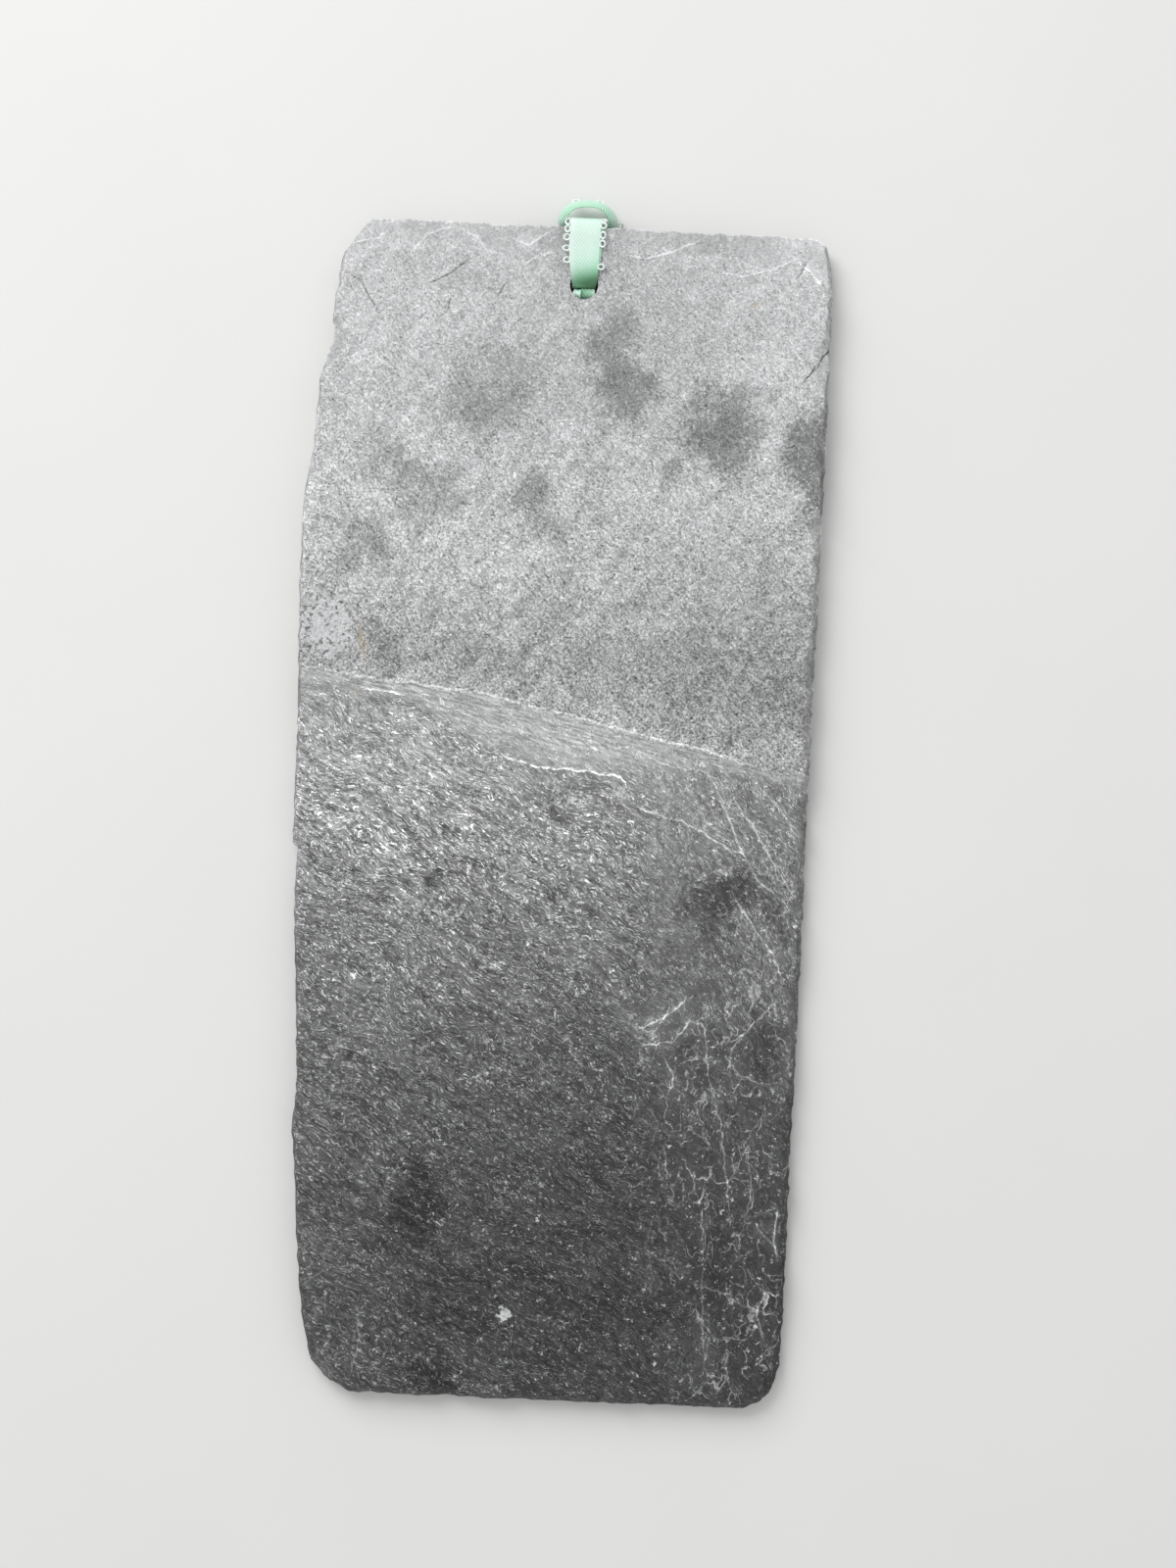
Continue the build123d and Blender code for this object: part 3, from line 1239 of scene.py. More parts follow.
# Damp stone, whose strength is how dark it is.
DAMP = (
    Patch((-16.0, 95.0), (7.0, 7.0), 0, 0.13), Patch((-20.0, 87.0), (10.5, 8.0), 20, 0.16),
    Patch((7.0, 101.0), (6.0, 7.0), 10, 0.2), Patch((9.0, 91.0), (7.0, 8.0), 0, 0.26),
    Patch((31.5, 83.0), (8.8, 10.0), 0, 0.31), Patch((50.0, 79.5), (6.0, 11.5), 0, 0.34),
    Patch((-37.5, 72.0), (8.5, 6.5), -35, 0.175), Patch((-29.5, 66.0), (8.5, 6.0), -20, 0.15),
    Patch((-9.5, 67.0), (4.5, 5.5), 35, 0.2), Patch((-5.0, 61.5), (5.5, 3.5), -15, 0.15),
    Patch((-45.5, 56.0), (7.0, 8.0), 0, 0.17), Patch((-19.0, 33.5), (8.0, 4.5), 0, 0.08),
    Patch((-39.6, 33.8), (4.2, 5.6), 0, 0.2), Patch((36.0, -15.0), (9.5, 5.0), -10, 0.33),
    Patch((31.0, -19.5), (5.0, 4.0), 20, 0.27), Patch((46.0, -17.0), (5.0, 6.0), 0, 0.16),
    Patch((-27.0, -85.5), (6.2, 9.5), 0, 0.32), Patch((-19.5, -104.0), (9.5, 9.0), 20, 0.14),
    Patch((-22.0, -121.0), (5.0, 4.0), 0, 0.25), Patch((-43.0, -15.8), (1.3, 1.8), 0, 0.25),
    Patch((-25.6, -16.6), (1.6, 2.4), 0, 0.25), Patch((1.0, -15.8), (2.2, 2.0), 0, 0.25),
    Patch((8.4, -22.0), (1.8, 2.8), 0, 0.25), Patch((3.0, 5.0), (8.0, 4.4), 0, 0.13),
    Patch((-1.0, 2.0), (3.0, 3.5), 0, 0.2), Patch((33.0, -50.0), (6.5, 9.0), 0, 0.16),
    Patch((45.0, -48.0), (5.0, 8.0), 0, 0.25), Patch((20.5, 74.0), (3.0, 2.0), 0, 0.12),
    Patch((37.0, -95.0), (5.0, 10.0), 0, 0.16), Patch((38.0, -65.0), (10.0, 9.0), 0, 0.1),
)

# Veins, in groups whose lines stay well apart, then the outlines of scars and the cracks.
LINES: dict[str, tuple[Line, ...]] = {
    "vein_a": (
        Line(
            ((36.8, -13.8), (39.8, -18.9), (42.9, -22.9), (46.9, -27.9), (48.5, -32.0), (49.3, -35.1)),
            0.24,
        ),
        Line(((28.7, -36.9), (28.0, -39.2), (23.5, -42.6), (19.5, -44.8), (16.5, -44.2)), 0.3),
        Line(
            (
                (32.9, -41.1), (33.6, -48.4), (34.1, -54.6), (35.5, -58.7), (37.3, -64.9),
                (37.8, -68.0), (39.1, -77.3), (40.3, -85.6),
            ),
            0.22,
        ),
        Line(((31.3, -98.6), (38.7, -100.3), (44.0, -103.2), (51.4, -104.9)), 0.16),
        Line(((24.5, -51.0), (26.2, -53.5), (26.8, -56.5), (25.4, -59.0)), 0.26),
        Line(((-1.3, 8.9), (-1.5, 4.3), (-4.7, -0.2)), 0.12),
        Line(((16.2, 13.9), (23.4, 11.0), (29.1, 10.7), (34.8, 8.3)), 0.14),
        Line(((-45.0, -19.5), (-41.5, -22.4), (-37.0, -22.8), (-33.0, -21.2)), 0.12),
        Line(((-44.2, 25.1), (-39.0, 24.6), (-33.8, 24.0)), 0.3),
        Line(((24.0, -84.0), (22.5, -91.0), (24.5, -98.0), (23.0, -104.0)), 0.12),
        Line(((36.5, -104.5), (37.0, -110.0), (35.8, -116.0)), 0.14),
    ),
    "vein_b": (
        Line(((18.7, -48.6), (23.0, -48.0), (26.5, -47.2), (28.8, -44.4), (30.2, -41.2)), 0.32),
        Line(
            ((49.3, -36.2), (43.4, -42.7), (39.0, -48.1), (38.5, -51.3), (40.7, -53.9), (47.1, -56.1)),
            0.2,
        ),
        Line(((34.4, -83.8), (34.9, -100.5), (36.1, -117.1)), 0.16),
        Line(((-38.2, -108.0), (-37.9, -114.2), (-39.6, -122.6)), 0.16),
        Line(((46.0, -62.0), (42.5, -69.0), (44.5, -77.0), (43.0, -88.0)), 0.14),
        Line(((29.5, -72.0), (32.0, -76.5), (33.0, -81.0)), 0.16),
        Line(((45.6, -86.0), (48.5, -88.6), (50.5, -91.0)), 0.2),
    ),
    "vein_c": (
        Line(((29.2, -42.6), (32.2, -43.2), (33.6, -46.0)), 0.26),
        Line(((-50.3, -102.9), (-46.3, -99.6)), 0.16),
        Line(((36.5, -70.5), (31.0, -66.0), (30.0, -61.0)), 0.14),
        Line(((44.0, -95.0), (46.5, -98.0), (48.5, -101.0)), 0.22),
        Line(((31.0, 9.5), (38.0, 3.0), (44.0, -3.5), (50.5, -12.0)), 0.1),
        Line(((-30.0, 23.0), (-21.0, 20.5), (-14.0, 17.0)), 0.1),
        Line(((28.5, -13.6), (33.6, -10.6), (37.2, -11.4)), 0.22),
        Line(((39.5, -96.5), (42.5, -92.5), (46.0, -91.0)), 0.14),
        Line(((41.0, -110.0), (44.5, -106.5), (47.5, -106.0)), 0.12),
        Line(((21.0, -60.0), (24.0, -65.0), (22.5, -70.5)), 0.12),
        Line(((15.0, -85.0), (18.5, -79.5), (23.0, -76.0)), 0.1),
    ),
    "scar": (
        Line(((-49.6, 119.5), (-44.2, 120.9), (-42.4, 122.1)), 0.09),
        Line(((-37.2, 117.9), (-33.8, 122.0), (-27.7, 124.2)), 0.09),
        Line(((-26.7, 123.6), (-22.9, 121.7), (-20.5, 118.7), (-17.4, 118.4)), 0.09),
        Line(((-15.4, 122.1), (-12.1, 120.7), (-6.4, 124.7)), 0.09),
        Line(((-13.1, 116.3), (-10.1, 118.3), (-6.2, 119.7)), 0.09),
        Line(((8.0, 119.5), (13.0, 119.0), (19.0, 120.8), (25.0, 124.0)), 0.09),
        Line(((28.0, 117.0), (33.5, 115.8), (40.0, 117.8), (45.5, 120.6)), 0.08),
        Line(((45.0, 119.8), (48.2, 117.6), (50.6, 114.6)), 0.14),
        Line(((44.0, 103.0), (47.5, 98.0), (50.5, 91.0)), 0.07),
        Line(((33.5, 6.5), (35.6, 1.2), (39.2, -6.5), (42.6, -12.0), (48.4, -16.6)), 0.16),
        Line(((36.5, 5.6), (41.4, -1.2), (46.1, -8.6), (51.2, -16.2)), 0.16),
        Line(((41.5, 8.5), (46.5, 3.5), (51.5, -3.5)), 0.12),
        Line(((50.3, -82.0), (49.6, -88.0), (50.5, -93.0)), 0.24),
        Line(((48.6, -99.0), (46.6, -104.5), (48.6, -110.5)), 0.16),
    ),
    "crack": (
        Line(((-51.4, 113.6), (-47.8, 111.8), (-46.6, 110.0), (-43.9, 105.9)), -0.14),
        Line(((-24.8, 117.0), (-28.9, 113.8), (-32.9, 111.6)), -0.16),
        Line(((-28.3, 108.7), (-28.6, 105.8), (-30.3, 104.5)), -0.14),
        Line(((-32.9, 106.0), (-34.4, 103.7)), -0.12),
        Line(((-16.5, 112.6), (-18.3, 109.6)), -0.12),
        Line(((53.3, 102.6), (52.7, 101.3), (51.0, 99.2), (47.4, 93.8)), -0.24),
        Line(((51.2, 99.4), (50.2, 97.0)), -0.16),
        Line(((47.1, 119.4), (45.2, 115.8)), -0.12),
    ),
}

# Where chalky and ochre minerals lie, and where glints of crystals are painted as white specks.
DEPOSITS: dict[str, tuple[Patch, ...]] = {
    "chalk": (
        Patch((-51.5, 38.0), (6.0, 8.0), 0, 0.9), Patch((-7.0, -107.0), (1.9, 1.5), -30, 1.1),
        Patch((-26.0, -22.0), (9.0, 3.0), -15, 0.28), Patch((-14.0, -57.0), (4.5, 2.0), 0, 0.32),
    ),
    "ochre": (
        Patch((-43.7, 35.0), (1.2, 5.5), 10, 1.0), Patch((-44.6, 24.1), (1.2, 0.8), 0, 1.0),
        Patch((36.8, 110.4), (0.8, 0.8), 0, 1.0),
    ),
    "glints": (
        Patch((3.8, 3.5), (4.6, 3.6), 0, 0.46), Patch((12.5, 5.0), (2.4, 2.2), 0, 0.44),
        Patch((40.0, -79.0), (2.4, 4.5), 0, 0.34), Patch((19.8, -46.5), (2.4, 2.4), 0, 0.34),
        Patch((24.0, -1.0), (12.0, 3.5), -25, 0.3), Patch((37.0, -60.0), (14.0, 30.0), 0, 0.2),
        Patch((40.0, -100.0), (2.0, 8.0), 0, 0.26), Patch((-20.0, -25.0), (9.0, 4.0), -15, 0.18),
        Patch((-0.8, -86.4), (1.0, 1.0), 0, 0.6), Patch((-11.4, -64.0), (1.0, 1.0), 0, 0.55),
        Patch((1.0, -42.7), (1.0, 1.0), 0, 0.55), Patch((0.0, -60.0), (55.0, 70.0), 0, 0.15),
    ),
}


@dataclass(frozen=True)
class Crowding:
    """Where a grid's lines crowd: how much denser they are, around what share, how far and how steeply."""

    gain: float
    middle: float
    reach: float
    power: float = 1.0


@dataclass
class RivenSlate:
    """The slate itself: riven sheets, knapped edges, a drilled hole and a flake hollow behind it.

    Lengths are millimetres, and foot_y is where its solid ends. A run of pairs across the slate goes by
    the distance right of the hole's line, and one up the slate by the height from its middle.
    """

    foot_y: float
    thickness: float = 6.5
    columns: int = 136
    rows: int = 322
    rings: int = 5
    hole_diameter: float = 6.0
    hole_sides: int = 56
    hole_inset: float = 12.2
    hollow_depth: float = 1.5
    hollow_half_width: float = 17.0
    hollow_length: float = 88.0
    hollow_slope: float = 4.0
    edge_reach: float = 12.0
    back_inset: float = 0.35
    wall_inset: float = 0.12
    wall_width: float = 0.5
    side_crowding: tuple[Crowding, ...] = (Crowding(1.3, 0.0, 1 / 22), Crowding(1.3, 1.0, 1 / 22))
    end_crowding: tuple[Crowding, ...] = (
        Crowding(1.0, 0.0, 0.02), Crowding(1.2, 1.0, 1 / 35), Crowding(0.7, 0.57, 0.05, 2.0),
    )
    seed: int = 41
    overlap: Point = (0.8, 1.0)
    spread: Point = (1.0, 1.5)
    powers: Point = (1.15, 1.7)
    lift_change: float = 0.05
    chip_pitch: float = 1.3
    chip_width: Point = (0.9, 2.4)
    chip_share: Point = (0.3, 1.0)
    chip_keep: float = 0.6
    arris_width: float = 0.12
    least_cut: float = 0.02
    face_ground: float = 0.08
    swell: Point = (0.07, 0.05)
    rivelling: float = 0.035
    burst_depth: float = 0.4
    back_burst: Point = (0.9, 2.6)
    back_ground: float = 0.05
    back_shade: float = 0.56
    back_skin: float = 0.4
    smooth_angle: float = 38.0
    # From the dark tail to the pale head: partly the stone's own tone, partly painted sheen of the light on
    # the head.
    tone_and_sheen_up: tuple[Point, ...] = (
        (-126, 0.33), (-105, 0.302), (-87, 0.328), (-58, 0.385), (-40, 0.473), (-25, 0.55), (-10, 0.625),
        (2, 0.675), (16, 0.68), (24, 0.64), (30, 0.635), (40, 0.68), (52, 0.732), (70, 0.765), (98, 0.772),
        (126, 0.765),
    )
    tilt_up: tuple[Point, ...] = (
        (-126, 0.06), (-60, 0.083), (-25, 0.038), (10, 0.02), (60, 0.03), (126, 0.02),
    )
    tilt_reach: float = 55.0
    tilt_limits: Point = (-0.45, 1.0)
    # Paler or darker parts of the face. The second, paler at the upper right, is painted light that makes up
    # for the key lamp's falloff there.
    tints: tuple[Tint, ...] = (
        Tint(-0.014, (20.0, 38.0), ((-62.0, -84.0),)),
        Tint(0.038, (8.0, 44.0), ((58.0, 84.0),)),
        Tint(-0.035, (6.0, 40.0), ((66.0, 48.0), (-30.0, -10.0))),
        Tint(-0.07, (8.0, 26.0), ((12.0, 2.0), (-60.0, -20.0))),
    )
    middle_lift: float = -0.032
    middle_width: float = 26.0
    middle_up: Point = (55.0, 95.0)
    contrast_up: tuple[Point, ...] = (
        (-126, 0.7), (-60, 0.69), (-10, 0.72), (10, 0.64), (30, 0.51), (60, 0.42), (90, 0.31), (126, 0.22),
    )
    rough_up: tuple[Point, ...] = ((-10, 1.0), (40, 1.0), (90, 0.85), (126, 0.7))
    torn_across: tuple[Point, ...] = ((-58, 0.8), (-46, 1.4), (-30, 1.5), (10, 1.2), (30, 1.3), (45, 1.0))
    combed: Tint = Tint(1.0, (2.0, -22.0), ((-36.0, -8.0), (26.0, 20.0)))
    webs: tuple[Tint, ...] = (
        Tint(0.5, (14.0, 30.0), ((8.0, -2.0),)),
        Tint(0.35, (-36.0, -46.0), ((-84.0, -96.0),)),
    )
    quiet: Triple = (0.4, 0.4, 0.45)
    flaked_depth: Point = (0.03, 0.3)
    slope_start: Point = (-0.02, 0.1)
    slope_end: Point = (1.25, 0.8)
    crest_flecks: float = 0.85
    crest_drop: Point = (0.0, 2.0)
    tail_up: Point = (13.0, 3.0)
    steep_slant: float = 0.12
    steep_across: Point = (12.0, 34.0)
    web_slant: float = 0.18
    web_across: Point = (2.0, 18.0)
    web_up: Point = (-24.0, -42.0)
    lip_reach: float = 3.0
    line_reach: float = 3.2
    line_taper: Point = (6.0, 0.15)
    unlined: float = 9.0
    perimeter: Perimeter = field(init=False)
    crests: dict[str, Crest] = field(init=False)
    flakes: list[Flake] = field(init=False)

    def __post_init__(self) -> None:
        """Set out the outline, the steps and the flakes."""
        self.perimeter = Perimeter(self.side_points())
        self.crests = self.cleavage()
        self.flakes, bites = self.knapped()
        self.flakes += self.struck()
        self.perimeter.pull_in(bites)

    @property
    def head_y(self) -> float:
        """Give the height of the head edge up the slate."""
        return -self.foot_y

    @property
    def hole_y(self) -> float:
        """Give the height of the hole's centre up the slate."""
        return self.head_y - self.hole_inset

    def side_points(self) -> dict[Side, tuple[Point, ...]]:
        """Set out the outline, with the belly, the notch and the step of the left edge.

        Returns:
            Each side's points, clockwise.
        """
        head, foot = self.head_y + 0.3, self.foot_y - 0.6
        head_left, head_right = (-49.3, 121.0), (51.9, 123.4)
        foot_right, foot_left = (51.0, -121.0), (-45.5, -122.4)
        return {
            Side.HEAD: (
                head_left, (-46.3, head), (-24.0, head), (3.0, head + 0.1), (30.0, head), (49.0, head),
                head_right,
            ),
            Side.RIGHT: (
                head_right, (52.7, 120.0), (53.4, 112.0), (53.4, 80.0), (53.2, 45.0), (53.0, 12.0),
                (53.1, -30.0), (52.8, -60.0), (52.7, -104.0), (52.5, -116.0), foot_right,
            ),
            Side.FOOT: (
                foot_right, (48.7, -123.5), (45.4, foot + 0.3), (20.0, foot), (-12.0, foot), (-39.5, foot),
                foot_left,
            ),
            Side.LEFT: (
                foot_left, (-48.4, -118.2), (-50.4, -110.2), (-52.1, -97.0), (-53.0, -84.0), (-54.4, -70.0),
                (-53.9, -58.6), (-55.2, -36.0), (-56.2, -22.0), (-56.0, -10.2), (-57.1, -8.6), (-57.1, 15.0),
                (-58.0, 49.0), (-57.8, 66.0), (-56.2, 76.0), (-55.6, 91.0), (-54.2, 96.5), (-52.9, 99.0),
                (-53.4, 103.5), (-51.9, 116.8), head_left,
            ),
        }

    def cleavage(self) -> dict[str, Crest]:
        """Set out the lips where one riven sheet ends and the next shows.

        Returns:
            The lips by name.
        """
        return {
            "crest": Crest(
                (
                    (-62.0, 30.2, 4.0), (-57.2, 29.6, 3.0), (-46.7, 27.8, 2.6), (-32.8, 26.5, 3.4),
                    (-18.8, 25.2, 10.0), (-6.3, 22.7, 13.0), (4.6, 20.5, 11.0), (15.6, 17.8, 7.4),
                    (28.0, 15.5, 4.2), (37.3, 13.2, 2.8), (45.1, 10.8, 2.2), (60.0, 10.5, 2.0),
                ),
                0.9, 0.3, ((-58, 0.7), (-40, 1.0), (30, 1.0), (46, 0.8), (53, 0.5)),
            ),
            "step": Crest(
                (
                    (-62.0, 17.0, 5.0), (-40.0, 13.0, 5.0), (-18.0, 11.8, 4.0), (-11.3, 11.6, 3.0),
                    (-4.1, 9.6, 2.0), (5.1, 9.6, 1.6), (13.0, 8.4, 1.4), (15.0, 4.2, 1.2), (16.3, 2.2, 1.2),
                    (26.4, -0.5, 2.0), (35.8, -5.5, 3.0), (60.0, -11.0, 3.0),
                ),
                0.6, 0.35,
                ((-15, 0.0), (-11, 0.9), (6, 1.0), (16, 1.0), (20, 0.5), (36, 0.7), (40, 0.2), (46, 0.0)),
            ),
        }

    def knapped(self) -> tuple[list[Flake], np.ndarray]:
        """Strike the flakes along every side.

        Returns:
            The flakes, each knocked off a little differently from the last, and how far they and the small
            chips between them bite into the outline at each of its steps.
        """
        random, outline = np.random.default_rng(self.seed), self.perimeter
        flakes, bites = [], np.zeros(len(outline.along))
        for side in Side:
            dressing = DRESSINGS[side]
            start, end = outline.starts[side], outline.starts[side] + outline.lengths[side]
            at = start
            while at < end:
                width = random.uniform(*dressing.width)
                middle = at + width / 2
                bites = np.maximum(bites, outline.scallop(middle, width) * random.uniform(*dressing.bite))
                flakes.append(
                    Flake(
                        middle, width * random.uniform(*self.spread), random.uniform(*dressing.run),
                        random.uniform(*dressing.drop), power=random.uniform(*self.powers),
                        lift=dressing.lift + random.uniform(-self.lift_change, self.lift_change),
                    )
                )
                at += width * random.uniform(*self.overlap)
            for _ in range(int(outline.lengths[side] / self.chip_pitch)):
                width, middle = random.uniform(*self.chip_width), random.uniform(start, end)
                chip = outline.scallop(middle, width) * dressing.chip * random.uniform(*self.chip_share)
                bites = np.maximum(bites, bites * self.chip_keep + chip)
        return flakes, bites

    def struck(self) -> list[Flake]:
        """Strike the larger scars that stand out along the edge.

        Returns:
            The scars as flakes, each at the nearest step of the outline.
        """
        scars = (
            Scar((52.0, 122.0), 15.0, 6.5, 1.5, 0.02), Scar((53.0, 98.0), 12.0, 3.4, 1.4, -0.06),
            Scar((-53.0, 98.0), 11.0, 3.4, 1.8, -0.12), Scar((-56.5, -9.5), 9.0, 2.4, 1.8, -0.05),
            Scar((52.5, -88.0), 10.0, 3.2, 1.0, 0.1), Scar((52.0, -109.0), 13.0, 3.6, 1.2, 0.12),
            Scar((-49.0, 121.0), 9.0, 4.0, 0.8, -0.1), Scar((38.0, 125.0), 17.0, 8.5, 0.8, -0.05),
            Scar((-18.0, 125.0), 15.0, 9.0, 0.7, -0.06), Scar((-36.0, 125.0), 13.0, 7.0, 0.7, -0.06),
        )
        flakes = []
        for scar in scars:
            step = np.hypot(*(self.perimeter.places - np.array(scar.place)).T).argmin()
            flakes.append(Flake(self.perimeter.along[step], scar.width, scar.run, scar.drop, scar.lift))
        return flakes

    def edge_fall(self, along: np.ndarray, inward: np.ndarray) -> tuple[np.ndarray, np.ndarray, np.ndarray]:
        """Find how deep the flake scars cut at each place.

        Args:
            along: How far along the outline.
            inward: How far in from it.

        Returns:
            The depth in millimetres, how much paler or darker the deepest scar is, and how near the place
            is to the arris between two scars.
        """
        depth, second, lift = np.zeros(len(along)), np.zeros(len(along)), np.zeros(len(along))
        whole = self.perimeter.whole
        for flake in self.flakes:
            apart = np.abs((along - flake.along + whole / 2) % whole - whole / 2) / (flake.width / 2)
            run = flake.run * np.sqrt(np.clip(1.0 - apart * apart, 1e-6, 1.0))
            cut = flake.drop * np.clip(1.0 - inward / run, 0.0, 1.0) ** flake.power
            cut = np.where(apart < 1.0, cut, 0.0)
            lift = np.where(cut > depth, flake.lift, lift)
            second = np.maximum(second, np.minimum(depth, cut))
            depth = np.maximum(depth, cut)
        arris = np.clip(1.0 - (depth - second) / self.arris_width, 0.0, 1.0) * (depth > self.least_cut)
        return depth, lift, arris

    def face_height(self, x: np.ndarray, y: np.ndarray, depth: np.ndarray) -> np.ndarray:
        """Give the height of the riven face.

        Args:
            x: Distance right of the hole's line.
            y: Height up the slate.
            depth: How deep the flake scars cut there.

        Returns:
            Z at each place.
        """
        broad, narrow = self.swell
        swell = broad * np.sin(x / 21.0 + 0.4) * np.cos(y / 29.0) + narrow * np.sin(x / 8.0 + y / 13.0)
        waves = np.sin((0.8 * x + 0.6 * y) / 2.1 + 1.5 * np.sin(x / 11.0))
        rivelled = self.rivelling * waves * smooth_between(y, 12.0, -6.0)
        steps = sum(crest.lowered(x, y) for crest in self.crests.values())
        radius, angle = self.hole_diameter / 2, np.arctan2(y - self.hole_y, x)
        reach = radius - 1.1 + 0.35 * np.sin(3.0 * angle + 1.0) + 0.25 * np.sin(7.0 * angle)
        past = (np.hypot(x, y - self.hole_y) - radius + self.burst_depth) / reach
        chipped = self.burst_depth * np.clip(1.0 - past, 0.0, 1.0)
        return self.thickness - self.face_ground + swell + rivelled - steps - chipped - depth

    def back_height(self, x: np.ndarray, y: np.ndarray) -> np.ndarray:
        """Give the height of the underside, with the hollow behind the hole.

        Args:
            x: Distance right of the hole's line.
            y: Height up the slate.

        Returns:
            Z at each place.
        """
        past_end = y - (self.head_y - self.hollow_length)
        side, end = self.hollow_half_width - np.abs(x), past_end
        round_end = self.hollow_half_width - np.hypot(x, np.minimum(past_end - self.hollow_half_width, 0.0))
        inside = np.minimum(np.minimum(side, end), round_end) / self.hollow_slope
        burst, reach = self.back_burst
        from_wall = np.hypot(x, y - self.hole_y) - self.hole_diameter / 2
        rough = self.back_ground * (1.0 + np.sin(x / 5.0 + 0.7 * np.sin(y / 9.0)) * np.sin(y / 7.0))
        return (
            self.hollow_depth * np.clip(inside, 0.0, 1.0) + burst * np.clip(1.0 - from_wall / reach, 0.0, 1.0)
            + rough
        )

    def crowded(self, shares: np.ndarray, crowding: Sequence[Crowding]) -> np.ndarray:
        """Crowd the grid's lines where the shape needs them.

        Args:
            shares: Even shares from 0 to 1.
            crowding: Where the lines crowd.

        Returns:
            The crowded shares.
        """
        even = np.linspace(0.0, 1.0, CROWD_STEPS)
        density = np.ones(len(even))
        for band in crowding:
            density += band.gain * np.exp(-((np.abs(even - band.middle) / band.reach) ** band.power))
        weight = np.cumsum(density)
        weight = (weight - weight[0]) / (weight[-1] - weight[0])
        return np.interp(shares, weight, even)

    def blank(self) -> bpy.types.Object:
        """Lay out a plain gridded slab and draw its wall down in rings.

        Returns:
            The slab, its grid still square.
        """
        deselect_all()
        length = (self.head_y - self.foot_y) * MM
        bpy.ops.mesh.primitive_grid_add(
            x_subdivisions=self.columns, y_subdivisions=self.rows, size=length, location=(0, 0, 0)
        )
        slab = bpy.context.object
        slab.name = slab.data.name = "riven_slate"
        bpy.ops.object.mode_set(mode="EDIT")
        bpy.ops.mesh.select_all(action="SELECT")
        bpy.ops.transform.translate(value=(0, 0, self.thickness * MM))
        for _ in range(self.rings):
            bpy.ops.mesh.extrude_region_move(
                TRANSFORM_OT_translate={"value": (0, 0, -self.thickness * MM / self.rings)}
            )
        bpy.ops.mesh.select_all(action="SELECT")
        bpy.ops.mesh.normals_make_consistent(inside=False)
        bpy.ops.object.mode_set(mode="OBJECT")
        return slab

    def rive(self, slab: bpy.types.Object) -> None:
        """Fit the slab's grid to the outline and give it its relief.

        Args:
            slab: The slab, its grid still square.
        """
        places = vertex_places(slab)
        even = places / (self.head_y - self.foot_y) + 0.5
        u, v = self.crowded(even[:, 0], self.side_crowding), self.crowded(even[:, 1], self.end_crowding)
        share = np.rint((self.thickness - places[:, 2]) / (self.thickness / self.rings)) / self.rings
        x, y = self.plan(u, v)
        along, inward = self.perimeter.nearest(x, y, self.edge_reach)
        depth, _, _ = self.edge_fall(along, inward)
        top, bottom = self.face_height(x, y, depth), self.back_height(x, y)
        ring = share * self.rings
        uneven = 0.22 * np.sin(along * 1.9 + ring * 1.7) + 0.15 * np.sin(along * 4.3 + ring * 2.3)
        inset = (self.back_inset + self.wall_inset) * share + uneven * np.sin(math.pi * share)
        way = np.c_[x, y] / (np.hypot(x, y)[:, None] + 1e-9)
        moved = np.c_[x, y] - way * (inset * (inward < self.wall_width))[:, None]
        move_vertices(slab, np.c_[moved, top + (bottom - top) * share])

    def plan(self, u: np.ndarray, v: np.ndarray) -> tuple[np.ndarray, np.ndarray]:
        """Stretch a square grid to the outline, so that each of its sides follows a side of the slate.

        Args:
            u: Shares of the way to the right.
            v: Shares of the way up.

        Returns:
            The places' X and Y.
        """
        point = self.perimeter.side_point
        head_left, head_right, foot_right, foot_left = (point(side, np.zeros(1))[0] for side in Side)
        head, foot = point(Side.HEAD, u), point(Side.FOOT, 1.0 - u)
        right, left = point(Side.RIGHT, 1.0 - v), point(Side.LEFT, v)
        u1, v1 = u[:, None], v[:, None]
        plan = (1 - v1) * foot + v1 * head + (1 - u1) * left + u1 * right
        plan -= (1 - u1) * (1 - v1) * foot_left + u1 * (1 - v1) * foot_right
        plan -= (1 - u1) * v1 * head_left + u1 * v1 * head_right
        return plan[:, 0], plan[:, 1]

    def drill(self, slab: bpy.types.Object) -> None:
        """Drill the nail hole right through.

        Args:
            slab: The slab in its final shape.
        """
        deselect_all()
        bpy.ops.mesh.primitive_cylinder_add(
            vertices=self.hole_sides, radius=self.hole_diameter / 2 * MM, depth=3 * self.thickness * MM,
            location=(0, self.hole_y * MM, self.thickness / 2 * MM),
        )
        bit = bpy.context.object
        apply_modifier(slab, "BOOLEAN", operation="DIFFERENCE", solver="EXACT", object=bit)
        bpy.data.objects.remove(bit)

    def build(self) -> bpy.types.Object:
        """Returns:
            The finished slate.
        """
        slab = self.blank()
        self.rive(slab)
        self.drill(slab)
        outward_normals(slab)
        self.paint(slab)
        bpy.ops.object.shade_smooth_by_angle(angle=math.radians(self.smooth_angle))
        slab.data.materials.clear()
        slab.data.materials.append(SlateFinish().material())
        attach(slab, BODY)
        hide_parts("slate_tile")
        return slab

